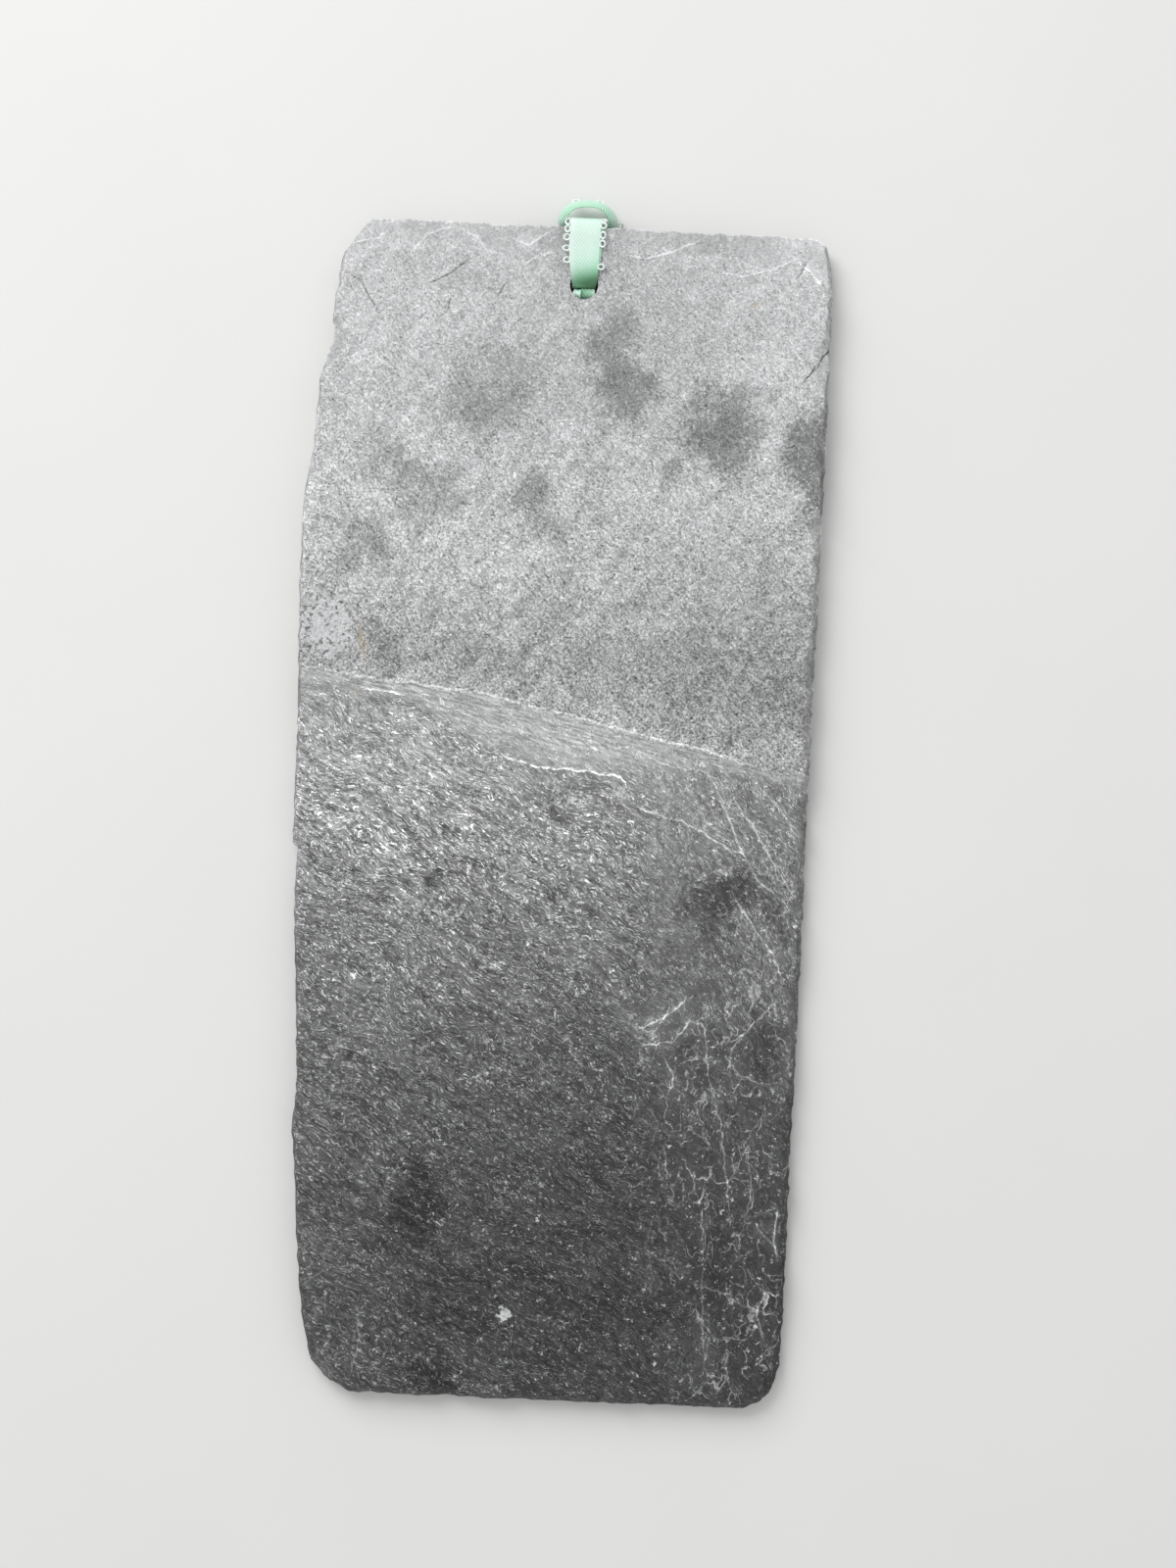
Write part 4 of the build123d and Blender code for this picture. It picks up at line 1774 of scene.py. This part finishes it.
    def paint(self, slab: bpy.types.Object) -> None:
        """Write the attributes that the slate's finish reads.

        Args:
            slab: The drilled slab.
        """
        x, y, z = vertex_places(slab).T
        behind = z < self.back_height(x, y) + self.back_skin
        layers = self.grounds(x, y, behind)
        for name, crest in self.crests.items():
            layers[name] = np.clip(y - crest.lip(x), -self.lip_reach, self.lip_reach)
            layers[name + "_mark"] = along_points(x, crest.marks) * ~behind
        damp, layers["damp_depth"] = self.damp(x, y)
        layers["damp"] = damp * ~behind
        for name, lines in LINES.items():
            layers[name], lift = self.signed_distance(x, y, lines)
            near = np.clip(self.line_reach - np.abs(layers[name]), 0.0, 1.0)
            layers[name + "_lift"] = lift * near * ~behind
        for name, patches in DEPOSITS.items():
            strengths = [patch.strength * patch.nearness(x, y) for patch in patches]
            layers[name] = np.max(strengths, axis=0) * ~behind
        for name, values in layers.items():
            write_attribute(slab, name, values)

    def grounds(self, x: np.ndarray, y: np.ndarray, behind: np.ndarray) -> dict[str, np.ndarray]:
        """Work out the stone's shade, its texture and its edges.

        Args:
            x: Distance right of the hole's line.
            y: Height up the slate.
            behind: Whether each place is on the underside.

        Returns:
            The values by attribute.
        """
        along, inward = self.perimeter.nearest(x, y, self.edge_reach)
        depth, lift, arris = self.edge_fall(along, inward)
        crest = self.crests["crest"]
        fall = np.clip(crest.fall(x, y), -1.0, 3.0)
        flaked, veined = smooth_between(depth, *self.flaked_depth), self.veined(x, y) * ~behind
        slope = smooth_between(fall, *self.slope_start) * smooth_between(fall, *self.slope_end)
        kept = 1.0
        for ground, calm in zip((slope, flaked, veined), self.quiet):
            kept = kept * (1.0 - calm * ground)
        upper_tail = self.crest_flecks * smooth_between(crest.lip(x) - y, *self.crest_drop)
        return {
            "shade": np.where(behind, self.back_shade, self.tones_and_sheen(x, y)),
            "contrast": along_points(y, self.contrast_up) * kept,
            "rough": along_points(y, self.rough_up) * kept,
            "flecked": np.maximum(upper_tail, smooth_between(y, *self.tail_up)),
            "steep": smooth_between(x + self.steep_slant * y, *self.steep_across),
            "along": along,
            "inward": np.where(behind, self.edge_reach, inward),
            "flaked": flaked,
            "flake_lift": lift,
            "arris": arris * ~behind,
            "fall": fall,
            "torn": along_points(x, self.torn_across),
            "veined": veined,
            "combed": self.combed.at(x, y),
        }

    def tones_and_sheen(self, x: np.ndarray, y: np.ndarray) -> np.ndarray:
        """Give the slate's shade as it shows, from the pale head to the dark tail: partly the stone's own
        tone and partly painted sheen of the light, which pales the head.

        Args:
            x: Distance right of the hole's line.
            y: Height up the slate.

        Returns:
            The shade at each place.
        """
        tilt = along_points(y, self.tilt_up) * np.clip(-x / self.tilt_reach, *self.tilt_limits)
        middle = np.exp(-((x / self.middle_width) ** 2)) * smooth_between(y, *self.middle_up)
        local = sum(tint.at(x, y) for tint in self.tints)
        return along_points(y, self.tone_and_sheen_up) + tilt + self.middle_lift * middle + local

    def veined(self, x: np.ndarray, y: np.ndarray) -> np.ndarray:
        """Give where the web of hair veins lies: strong at the lower right, faint below the step.

        Args:
            x: Distance right of the hole's line.
            y: Height up the slate.

        Returns:
            The web's strength at each place.
        """
        across = smooth_between(x + self.web_slant * y, *self.web_across)
        lower = across * smooth_between(y, *self.web_up)
        return np.maximum.reduce([lower, *(web.at(x, y) for web in self.webs)])

    def damp(self, x: np.ndarray, y: np.ndarray) -> tuple[np.ndarray, np.ndarray]:
        """Find the damp stone.

        Args:
            x: Distance right of the hole's line.
            y: Height up the slate.

        Returns:
            How damp each place is, and how dark damp stone is there.
        """
        warped_x = x + 1.2 * np.sin(y / 3.1 + 0.7) + 0.7 * np.sin(y / 1.6 + x / 4.0)
        warped_y = y + 1.3 * np.sin(x / 2.7 + 1.9) + 0.7 * np.sin(x / 1.5 - y / 5.0)
        damp, dark = np.zeros(len(x)), np.full(len(x), 1e-6)
        for patch in DAMP:
            near = patch.nearness(warped_x, warped_y)
            dark = np.maximum(dark, near * patch.strength)
            damp = np.maximum(damp, near)
        return damp, dark / np.maximum(damp, 1e-3)

    def signed_distance(
        self, x: np.ndarray, y: np.ndarray, lines: tuple[Line, ...]
    ) -> tuple[np.ndarray, np.ndarray]:
        """Measure how far each place is from the nearest of some lines.

        Args:
            x: Distance right of the hole's line.
            y: Height up the slate.
            lines: The lines.

        Returns:
            The distance, positive on one side of the line and negative on the other, and the line's lift,
            which dies away towards its ends.
        """
        best, lift = np.full(len(x), self.unlined), np.zeros(len(x))
        steepness, end_lift = self.line_taper
        for line in lines:
            chord = [math.dist(*pair) for pair in zip(line.points, line.points[1:])]
            start = 0.0
            for (ax, ay), (bx, by), length in zip(line.points, line.points[1:], chord):
                dx, dy = bx - ax, by - ay
                share = np.clip(((x - ax) * dx + (y - ay) * dy) / length**2, 0.0, 1.0)
                apart = np.hypot(x - ax - share * dx, y - ay - share * dy)
                sign = np.where((x - ax) * dy - (y - ay) * dx > 0, 1.0, -1.0)
                along = (start + share * length) / sum(chord)
                taper = np.clip(steepness * np.minimum(along, 1.0 - along) + end_lift, 0.0, 1.0)
                nearer = apart < np.abs(best)
                best, lift = np.where(nearer, sign * apart, best), np.where(nearer, line.lift * taper, lift)
                start += length
        return best, lift


@dataclass(frozen=True)
class Station:
    """One place along a strip: its middle, half its width as a direction, its cupping and its painted
    shading.
    """

    middle: Triple
    half: Triple
    cup: float = 0.0
    shaded: float = 0.0


@dataclass
class PicotRibbon:
    """The ribbon: doubled over the head edge and through its own bight, with loops along both selvedges."""

    thickness: float = 0.24
    across: int = 10
    cell: float = 0.45
    picot_pitch: float = 2.4
    left_picots: tuple[float, ...] = (126.1, 124.5, 122.7, 120.4, 117.9)
    right_picots: tuple[float, ...] = (127.0, 125.5, 123.4, 121.6, 116.7)
    crown_picots: tuple[float, ...] = (-1.6, 2.7, 8.4)
    hidden_picots: Point = (90.0, 21.0)
    picot_shift: float = 0.25
    picot_radius: float = 0.61
    picot_change: float = 0.14
    picot_seat: float = 0.95
    picot_sides: tuple[int, int] = (16, 6)
    thread: float = 0.2
    thread_shading: float = 0.6
    centre_x: float = -0.2
    half_width: float = 3.2
    front_span: Point = (24.0, 6.0)
    front_height: float = 6.2
    near: float = 0.05
    smooth_angle: float = 50.0

    def strand_stations(self) -> list[Station]:
        """Lay the doubled strand: up out of the hole, over the head edge, to its loop end and back again.

        Returns:
            The places along it, listed.
        """
        x, half = self.centre_x, self.half_width
        # Each row: X, Y, Z, half width, and painted shade, darkest where the strand turns down into the hole;
        # below 0 on the crown for a painted highlight.
        inner = [
            (0.0, 112.9, 1.2, 2.0, 1.0), (0.0, 112.75, 3.4, 2.3, 1.0), (0.0, 113.1, 4.95, 2.35, 0.8),
            (0.0, 113.6, 5.6, 2.45, 0.5), (0.1, 114.3, 6.15, 2.6, 0.3), (x + 0.3, 115.9, 6.6, 2.85, 0.1),
            (x + 0.4, 118.0, 6.69, 3.05, 0.0), (x + 0.35, 121.0, 6.7, half, 0.0),
            (x + 0.3, 124.6, 6.66, half, 0.0), (x + 0.1, 126.1, 6.1, half, 0.1), (x, 126.75, 4.9, half, 0.1),
            (x, 126.9, 3.6, half, 0.2), (x, 126.75, 2.2, half, 0.2), (x, 126.0, 0.95, half, 0.2),
            (x, 124.3, 0.52, half, 0.2), (x, 118.0, 0.5, half, 0.2), (0.2, 100.0, 0.5, half, 0.1),
            (0.7, 80.0, 0.5, half, 0.0), (0.9, 65.5, 0.5, half, 0.0), (0.9, 63.8, 0.47, half, 0.0),
            (0.9, 63.4, 0.33, half, 0.0),
        ]
        outer = [
            (0.9, 63.8, 0.19, half, 0.0), (0.9, 65.5, 0.17, half, 0.0), (0.7, 80.0, 0.17, half, 0.0),
            (0.2, 100.0, 0.17, half, 0.0), (x, 118.0, 0.17, half, 0.0), (x, 124.6, 0.18, half, 0.0),
            (x, 126.4, 0.66, half, 0.0), (x, 127.1, 2.0, half, 0.0), (x, 127.25, 3.6, half, 0.0),
            (x, 127.1, 5.2, half, 0.0), (x, 126.4, 6.5, half, -0.12), (x, 124.8, 7.0, half, -0.22),
            (x - 0.1, 121.0, 7.03, half + 0.05, -0.18), (x, 118.0, 7.02, 3.12, 0.02),
            (x + 0.05, 115.8, 6.93, 2.95, 0.25), (0.0, 114.05, 6.43, 2.72, 0.75),
            (0.0, 113.3, 5.87, 2.6, 1.0), (0.0, 112.77, 5.15, 2.5, 0.75), (0.0, 112.35, 3.4, 2.4, 0.9),
            (0.0, 112.4, 1.2, 2.0, 1.0),
        ]
        return [Station(tuple(place), (wide, 0.0, 0.0), 0.0, dark) for *place, wide, dark in inner + outer]

    def bight_stations(self) -> list[Station]:
        """Lay the bight: a leg up out of the hole's left, round the strands like a funnel, and back again.

        Returns:
            The places along it, listed.
        """
        # Each row: middle, half width, cupping and painted shade, darkest where the legs pass through the
        # hole.
        left = [
            ((-1.2, 112.1, 4.6), (0.8, 0.0, 0.0), 0.15, 0.6),
            ((-1.35, 111.7, 5.5), (0.82, 0.05, 0.0), 0.25, 0.1),
            ((-1.5, 110.9, 6.05), (0.82, 0.05, 0.0), 0.35, 0.0),
            ((-1.5, 110.25, 5.6), (0.82, 0.05, 0.0), 0.35, 0.0),
            ((-1.5, 110.05, 4.4), (0.82, 0.05, 0.0), 0.25, 0.25),
            ((-1.5, 110.3, 2.6), (0.85, 0.0, 0.0), 0.2, 0.8),
            ((-1.5, 111.4, 1.1), (0.95, 0.0, 0.0), 0.1, 1.0),
            ((-1.7, 114.0, 0.95), (1.05, 0.0, 0.0), 0.0, 0.5),
            ((-2.6, 118.5, 0.93), (1.15, 0.0, 0.0), 0.0, 0.3),
            ((-3.7, 122.6, 0.93), (1.15, 0.0, 0.03), 0.0, 0.3),
            ((-4.4, 124.6, 1.0), (1.1, 0.1, 0.2), 0.1, 0.2),
            ((-4.8, 125.8, 1.7), (1.0, -0.05, 0.8), 0.3, 0.1),
        ]
        crown = [
            ((-5.2, 126.8, 2.8), (0.95, -0.2, 1.35), 0.6, 0.05),
            ((-4.85, 128.1, 3.6), (0.86, -0.45, 1.65), 0.7, 0.13),
            ((-3.5, 129.5, 3.95), (0.55, -0.68, 1.75), 0.75, 0.13),
            ((-1.4, 130.2, 4.0), (0.15, -0.8, 1.75), 0.75, 0.13),
            ((0.7, 130.3, 4.0), (-0.05, -0.78, 1.75), 0.75, 0.13),
            ((2.9, 129.9, 3.95), (-0.35, -0.7, 1.75), 0.75, 0.13),
            ((4.7, 128.7, 3.7), (-0.72, -0.52, 1.65), 0.7, 0.13),
            ((5.55, 127.2, 3.0), (-0.95, -0.2, 1.4), 0.6, 0.05),
        ]
        right = [
            ((5.4, 126.0, 1.9), (-1.0, -0.05, 0.85), 0.3, 0.1),
            ((4.7, 124.8, 1.05), (-1.1, 0.1, 0.25), 0.1, 0.2),
            ((3.7, 122.6, 0.93), (-1.15, 0.0, 0.0), 0.0, 0.3),
            ((2.6, 118.5, 0.93), (-1.15, 0.0, 0.0), 0.0, 0.3),
            ((1.6, 114.0, 0.95), (-1.05, 0.0, 0.0), 0.0, 0.5),
            ((1.25, 111.4, 1.1), (-1.2, 0.0, 0.0), 0.0, 0.8),
            ((1.0, 110.2, 2.4), (-1.4, 0.0, 0.0), 0.0, 0.5),
            ((0.9, 110.1, 3.8), (-1.45, 0.0, 0.0), 0.05, 0.3),
            ((0.85, 110.6, 4.9), (-1.48, 0.0, 0.0), 0.1, 0.38),
            ((0.85, 111.5, 5.1), (-1.48, 0.0, 0.0), 0.1, 0.36),
            ((0.85, 112.2, 4.6), (-1.4, 0.0, 0.0), 0.0, 0.5),
        ]
        return [Station(*values) for values in left + crown + right]

    def followed(self, stations: list[Station]) -> tuple[np.ndarray, Callable[[np.ndarray], np.ndarray]]:
        """Run a smooth curve through stations.

        Args:
            stations: The places along a strip.

        Returns:
            Each station's distance along the strip, and a function from distance to its eight values.
        """
        knots = np.array([(*s.middle, *s.half, s.cup, s.shaded) for s in stations])
        at = np.r_[0.0, np.cumsum(np.linalg.norm(np.diff(knots[:, :3], axis=0), axis=1))]
        gap = np.diff(at)[:, None]
        slope = np.diff(knots, axis=0) / gap
        inner = (slope[1:] * gap[:-1] + slope[:-1] * gap[1:]) / (gap[1:] + gap[:-1])
        tangent = np.vstack([slope[:1], inner, slope[-1:]])

        def values(distance: np.ndarray) -> np.ndarray:
            """Read the strip at some distances along it.

            Args:
                distance: The distances.

            Returns:
                The strip's eight values, one row for each distance.
            """
            span = np.clip(np.searchsorted(at, distance, side="right") - 1, 0, len(gap) - 1)
            width = gap[span]
            t = (distance - at[span])[:, None] / width
            return (
                knots[span] * (1 + 2 * t) * (1 - t) ** 2
                + tangent[span] * width * t * (1 - t) ** 2
                + knots[span + 1] * t * t * (3 - 2 * t)
                + tangent[span + 1] * width * t * t * (t - 1)
            )

        return at, values

    def strip(self, name: str, stations: list[Station]) -> bpy.types.Object:
        """Weave one strip along its stations.

        Args:
            name: The object's name.
            stations: The places along the strip.

        Returns:
            The strip, with its thickness and its own UV map in millimetres.
        """
        at, values = self.followed(stations)
        deselect_all()
        bpy.ops.mesh.primitive_grid_add(
            x_subdivisions=self.across, y_subdivisions=int(at[-1] / self.cell), size=at[-1] * MM,
            location=(0, 0, 0),
        )
        strip = bpy.context.object
        strip.name = strip.data.name = name
        flat = vertex_places(strip) / at[-1] + 0.5
        side, distance = 2.0 * flat[:, 0] - 1.0, flat[:, 1] * at[-1]
        line = values(distance)
        before, after = np.maximum(distance - self.near, 0.0), np.minimum(distance + self.near, at[-1])
        normal = np.cross(line[:, 3:6], values(after)[:, :3] - values(before)[:, :3])
        normal /= np.linalg.norm(normal, axis=1)[:, None] + 1e-9
        bowed = line[:, 6] * (1.0 - side**2)
        move_vertices(strip, line[:, :3] + line[:, 3:6] * side[:, None] + normal * bowed[:, None])
        write_attribute(strip, "shaded", line[:, 7])
        write_attribute(strip, "side", side)
        uv = strip.data.uv_layers[0]
        uv.name = WEAVE
        width = np.linalg.norm(line[:, 3:6], axis=1)
        corners = np.empty(len(strip.data.loops), int)
        strip.data.loops.foreach_get("vertex_index", corners)
        uv.data.foreach_set("uv", np.c_[(side * width)[corners], distance[corners]].ravel())
        apply_modifier(strip, "SOLIDIFY", thickness=self.thickness * MM, offset=0.0)
        return strip

    def picots(
        self, pattern: bpy.types.Object, stations: list[Station], side: int, distances: Sequence[float],
        level: bool = False,
    ) -> list[bpy.types.Object]:
        """Hang thread loops along one of a strip's selvedges.

        Args:
            pattern: The loop that is copied.
            stations: The places along the strip.
            side: Which selvedge has them, -1 or 1.
            distances: Where along the strip each loop is.
            level: Whether the loops lie level instead of in the ribbon's own plane.

        Returns:
            The loops, each with its own mesh.
        """
        _, values = self.followed(stations)
        loops = []
        for index, distance in enumerate(distances):
            line = values(np.array([distance, distance + 2 * self.near]))
            half = Vector(line[0, 3:6])
            out = (Vector((half.x, half.y, 0.25 * half.z)) if level else half).normalized() * side
            ahead = Vector(line[1, :3] - line[0, :3]).normalized()
            place = Vector(line[0, :3]) + half * side + out * self.picot_radius * self.picot_seat
            turn = Matrix((out, ahead, out.cross(ahead).normalized())).transposed().to_4x4()
            loop = pattern.copy()
            loop.data = pattern.data.copy()
            bpy.context.scene.collection.objects.link(loop)
            squeeze = 1.0 + self.picot_change * math.sin(5.1 * index + side)
            shape = Matrix.Diagonal((squeeze, 2.0 - squeeze, 1.0, 1.0))
            loop.data.transform(Matrix.Translation(place * MM) @ turn @ shape)
            # Loops in painted shade take less of the pale thread colour.
            pale = 1.0 - self.thread_shading * line[0, 7]
            write_attribute(loop, "thread", np.full(len(loop.data.vertices), pale))
            loops.append(loop)
        return loops

    def front_distances(self, stations: list[Station], heights: Sequence[float]) -> list[float]:
        """Find where the band in front of the slate passes some heights up the slate.

        Args:
            stations: The places along the strand.
            heights: The heights.

        Returns:
            The distances along the strand.
        """
        at, values = self.followed(stations)
        begin, finish = self.front_span
        distances = np.arange(at[-1] - begin, at[-1] - finish, self.near)
        line = values(distances)
        in_front = np.where(line[:, 2] > self.front_height, line[:, 1], 0.0)
        return [float(distances[np.abs(in_front - height).argmin()]) for height in heights]

    def picot(self) -> bpy.types.Object:
        """Make the thread loop that all the others are copied from.

        Returns:
            The loop, at the origin.
        """
        deselect_all()
        bpy.ops.mesh.primitive_torus_add(
            major_radius=self.picot_radius * MM, minor_radius=self.thread * MM,
            major_segments=self.picot_sides[0], minor_segments=self.picot_sides[1],
        )
        loop = bpy.context.object
        loop.data.uv_layers[0].name = WEAVE
        return loop

    def build(self) -> bpy.types.Object:
        """Returns:
            The finished ribbon.
        """
        loop = self.picot()
        strands, bight = self.strand_stations(), self.bight_stations()
        ribbon = self.strip("picot_ribbon", strands)
        pieces = [ribbon, self.strip("bight", bight)]
        end, bight_end = (self.followed(stations)[0][-1] for stations in (strands, bight))
        begin, finish = self.hidden_picots
        hidden = np.arange(end - begin, end - finish, self.picot_pitch)
        for side, heights in ((-1, self.left_picots), (1, self.right_picots)):
            pieces += self.picots(loop, strands, side, hidden + self.picot_shift * side)
            pieces += self.picots(loop, strands, side, self.front_distances(strands, heights))
        crown = [bight_end / 2 + shift for shift in self.crown_picots]
        pieces += self.picots(loop, bight, -1, crown, level=True)
        bpy.data.objects.remove(loop)
        deselect_all()
        for piece in pieces:
            piece.select_set(True)
        bpy.context.view_layer.objects.active = ribbon
        bpy.ops.object.join()
        outward_normals(ribbon)
        places = vertex_places(ribbon)
        places[:, 2] = np.maximum(places[:, 2], 0.0)
        move_vertices(ribbon, places)
        bpy.ops.object.shade_smooth_by_angle(angle=math.radians(self.smooth_angle))
        ribbon.data.materials.clear()
        ribbon.data.materials.append(RibbonFinish().material())
        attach(ribbon, BODY)
        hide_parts("hanging_ribbon")
        return ribbon


@dataclass
class Studio:
    """A pale floor, soft light from the head's side and a camera that looks straight down."""

    centre: Point = (5.65, 6.73)
    roll: float = 2.6
    shown_height: float = 333.6
    distance: float = 620.0
    sensor_height: float = 36.0
    face_height: float = 6.5
    floor_size: float = 4.0
    sky: float = 0.625
    key_power: float = 13.1
    key_size: float = 0.9
    key_place: Triple = (-0.62, 0.92, 0.86)
    horizon: Triple = (0.86, 0.86, 0.86)

    def floor(self) -> bpy.types.Object:
        """Lay the floor.

        Returns:
            The floor.
        """
        deselect_all()
        bpy.ops.mesh.primitive_plane_add(size=self.floor_size, location=(0, 0, 0))
        floor = bpy.context.object
        floor.name = floor.data.name = "floor"
        floor.data.materials.append(FloorFinish().material())
        return floor

    def lights(self) -> None:
        """Set an even sky and one broad soft lamp."""
        world = bpy.data.worlds.new("studio")
        bpy.context.scene.world = world
        world.use_nodes = True
        nodes, links = world.node_tree.nodes, world.node_tree.links
        sky = nodes["Background"]
        sky.inputs["Color"].default_value = (1.0, 1.0, 1.0, 1.0)
        sky.inputs["Strength"].default_value = self.sky
        seen = nodes.new("ShaderNodeBackground")
        seen.inputs["Color"].default_value = (*self.horizon, 1.0)
        path, mix = nodes.new("ShaderNodeLightPath"), nodes.new("ShaderNodeMixShader")
        links.new(path.outputs["Is Camera Ray"], mix.inputs[0])
        links.new(sky.outputs[0], mix.inputs[1])
        links.new(seen.outputs[0], mix.inputs[2])
        links.new(mix.outputs[0], nodes["World Output"].inputs["Surface"])
        lamp = bpy.data.lights.new("key", "AREA")
        lamp.energy, lamp.size = self.key_power, self.key_size
        key = bpy.data.objects.new("key", lamp)
        key.location = self.key_place
        key.rotation_euler = (-Vector(self.key_place)).to_track_quat("-Z", "Y").to_euler()
        bpy.context.scene.collection.objects.link(key)

    def camera(self) -> bpy.types.Object:
        """Hang the camera over the slate, rolled as the picture is.

        Returns:
            The camera.
        """
        data = bpy.data.cameras.new("camera")
        data.sensor_fit = "VERTICAL"
        data.sensor_height = self.sensor_height
        data.lens = data.sensor_height * self.distance / self.shown_height
        camera = bpy.data.objects.new("camera", data)
        camera.location = (self.centre[0] * MM, self.centre[1] * MM, (self.face_height + self.distance) * MM)
        camera.rotation_euler = (0.0, 0.0, math.radians(self.roll))
        bpy.context.scene.collection.objects.link(camera)
        bpy.context.scene.camera = camera
        return camera

    def build(self) -> None:
        """Set up the floor, the lights, the camera and the plain view transform."""
        self.floor()
        self.lights()
        self.camera()
        bpy.context.scene.view_settings.view_transform = "Standard"


def main() -> None:
    """Build the studio, the slate and the ribbon, and report each."""
    logging.basicConfig(level=logging.INFO, format="%(name)s: %(message)s")
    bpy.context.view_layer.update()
    Studio().build()
    LOG.info("studio ready")
    low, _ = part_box("slate_tile")
    for piece in (RivenSlate(foot_y=low.y / MM), PicotRibbon()):
        made = piece.build()
        LOG.info("%s: %d faces", made.name, len(made.data.polygons))
    bpy.context.view_layer.update()


if __name__ == "__main__":
    main()
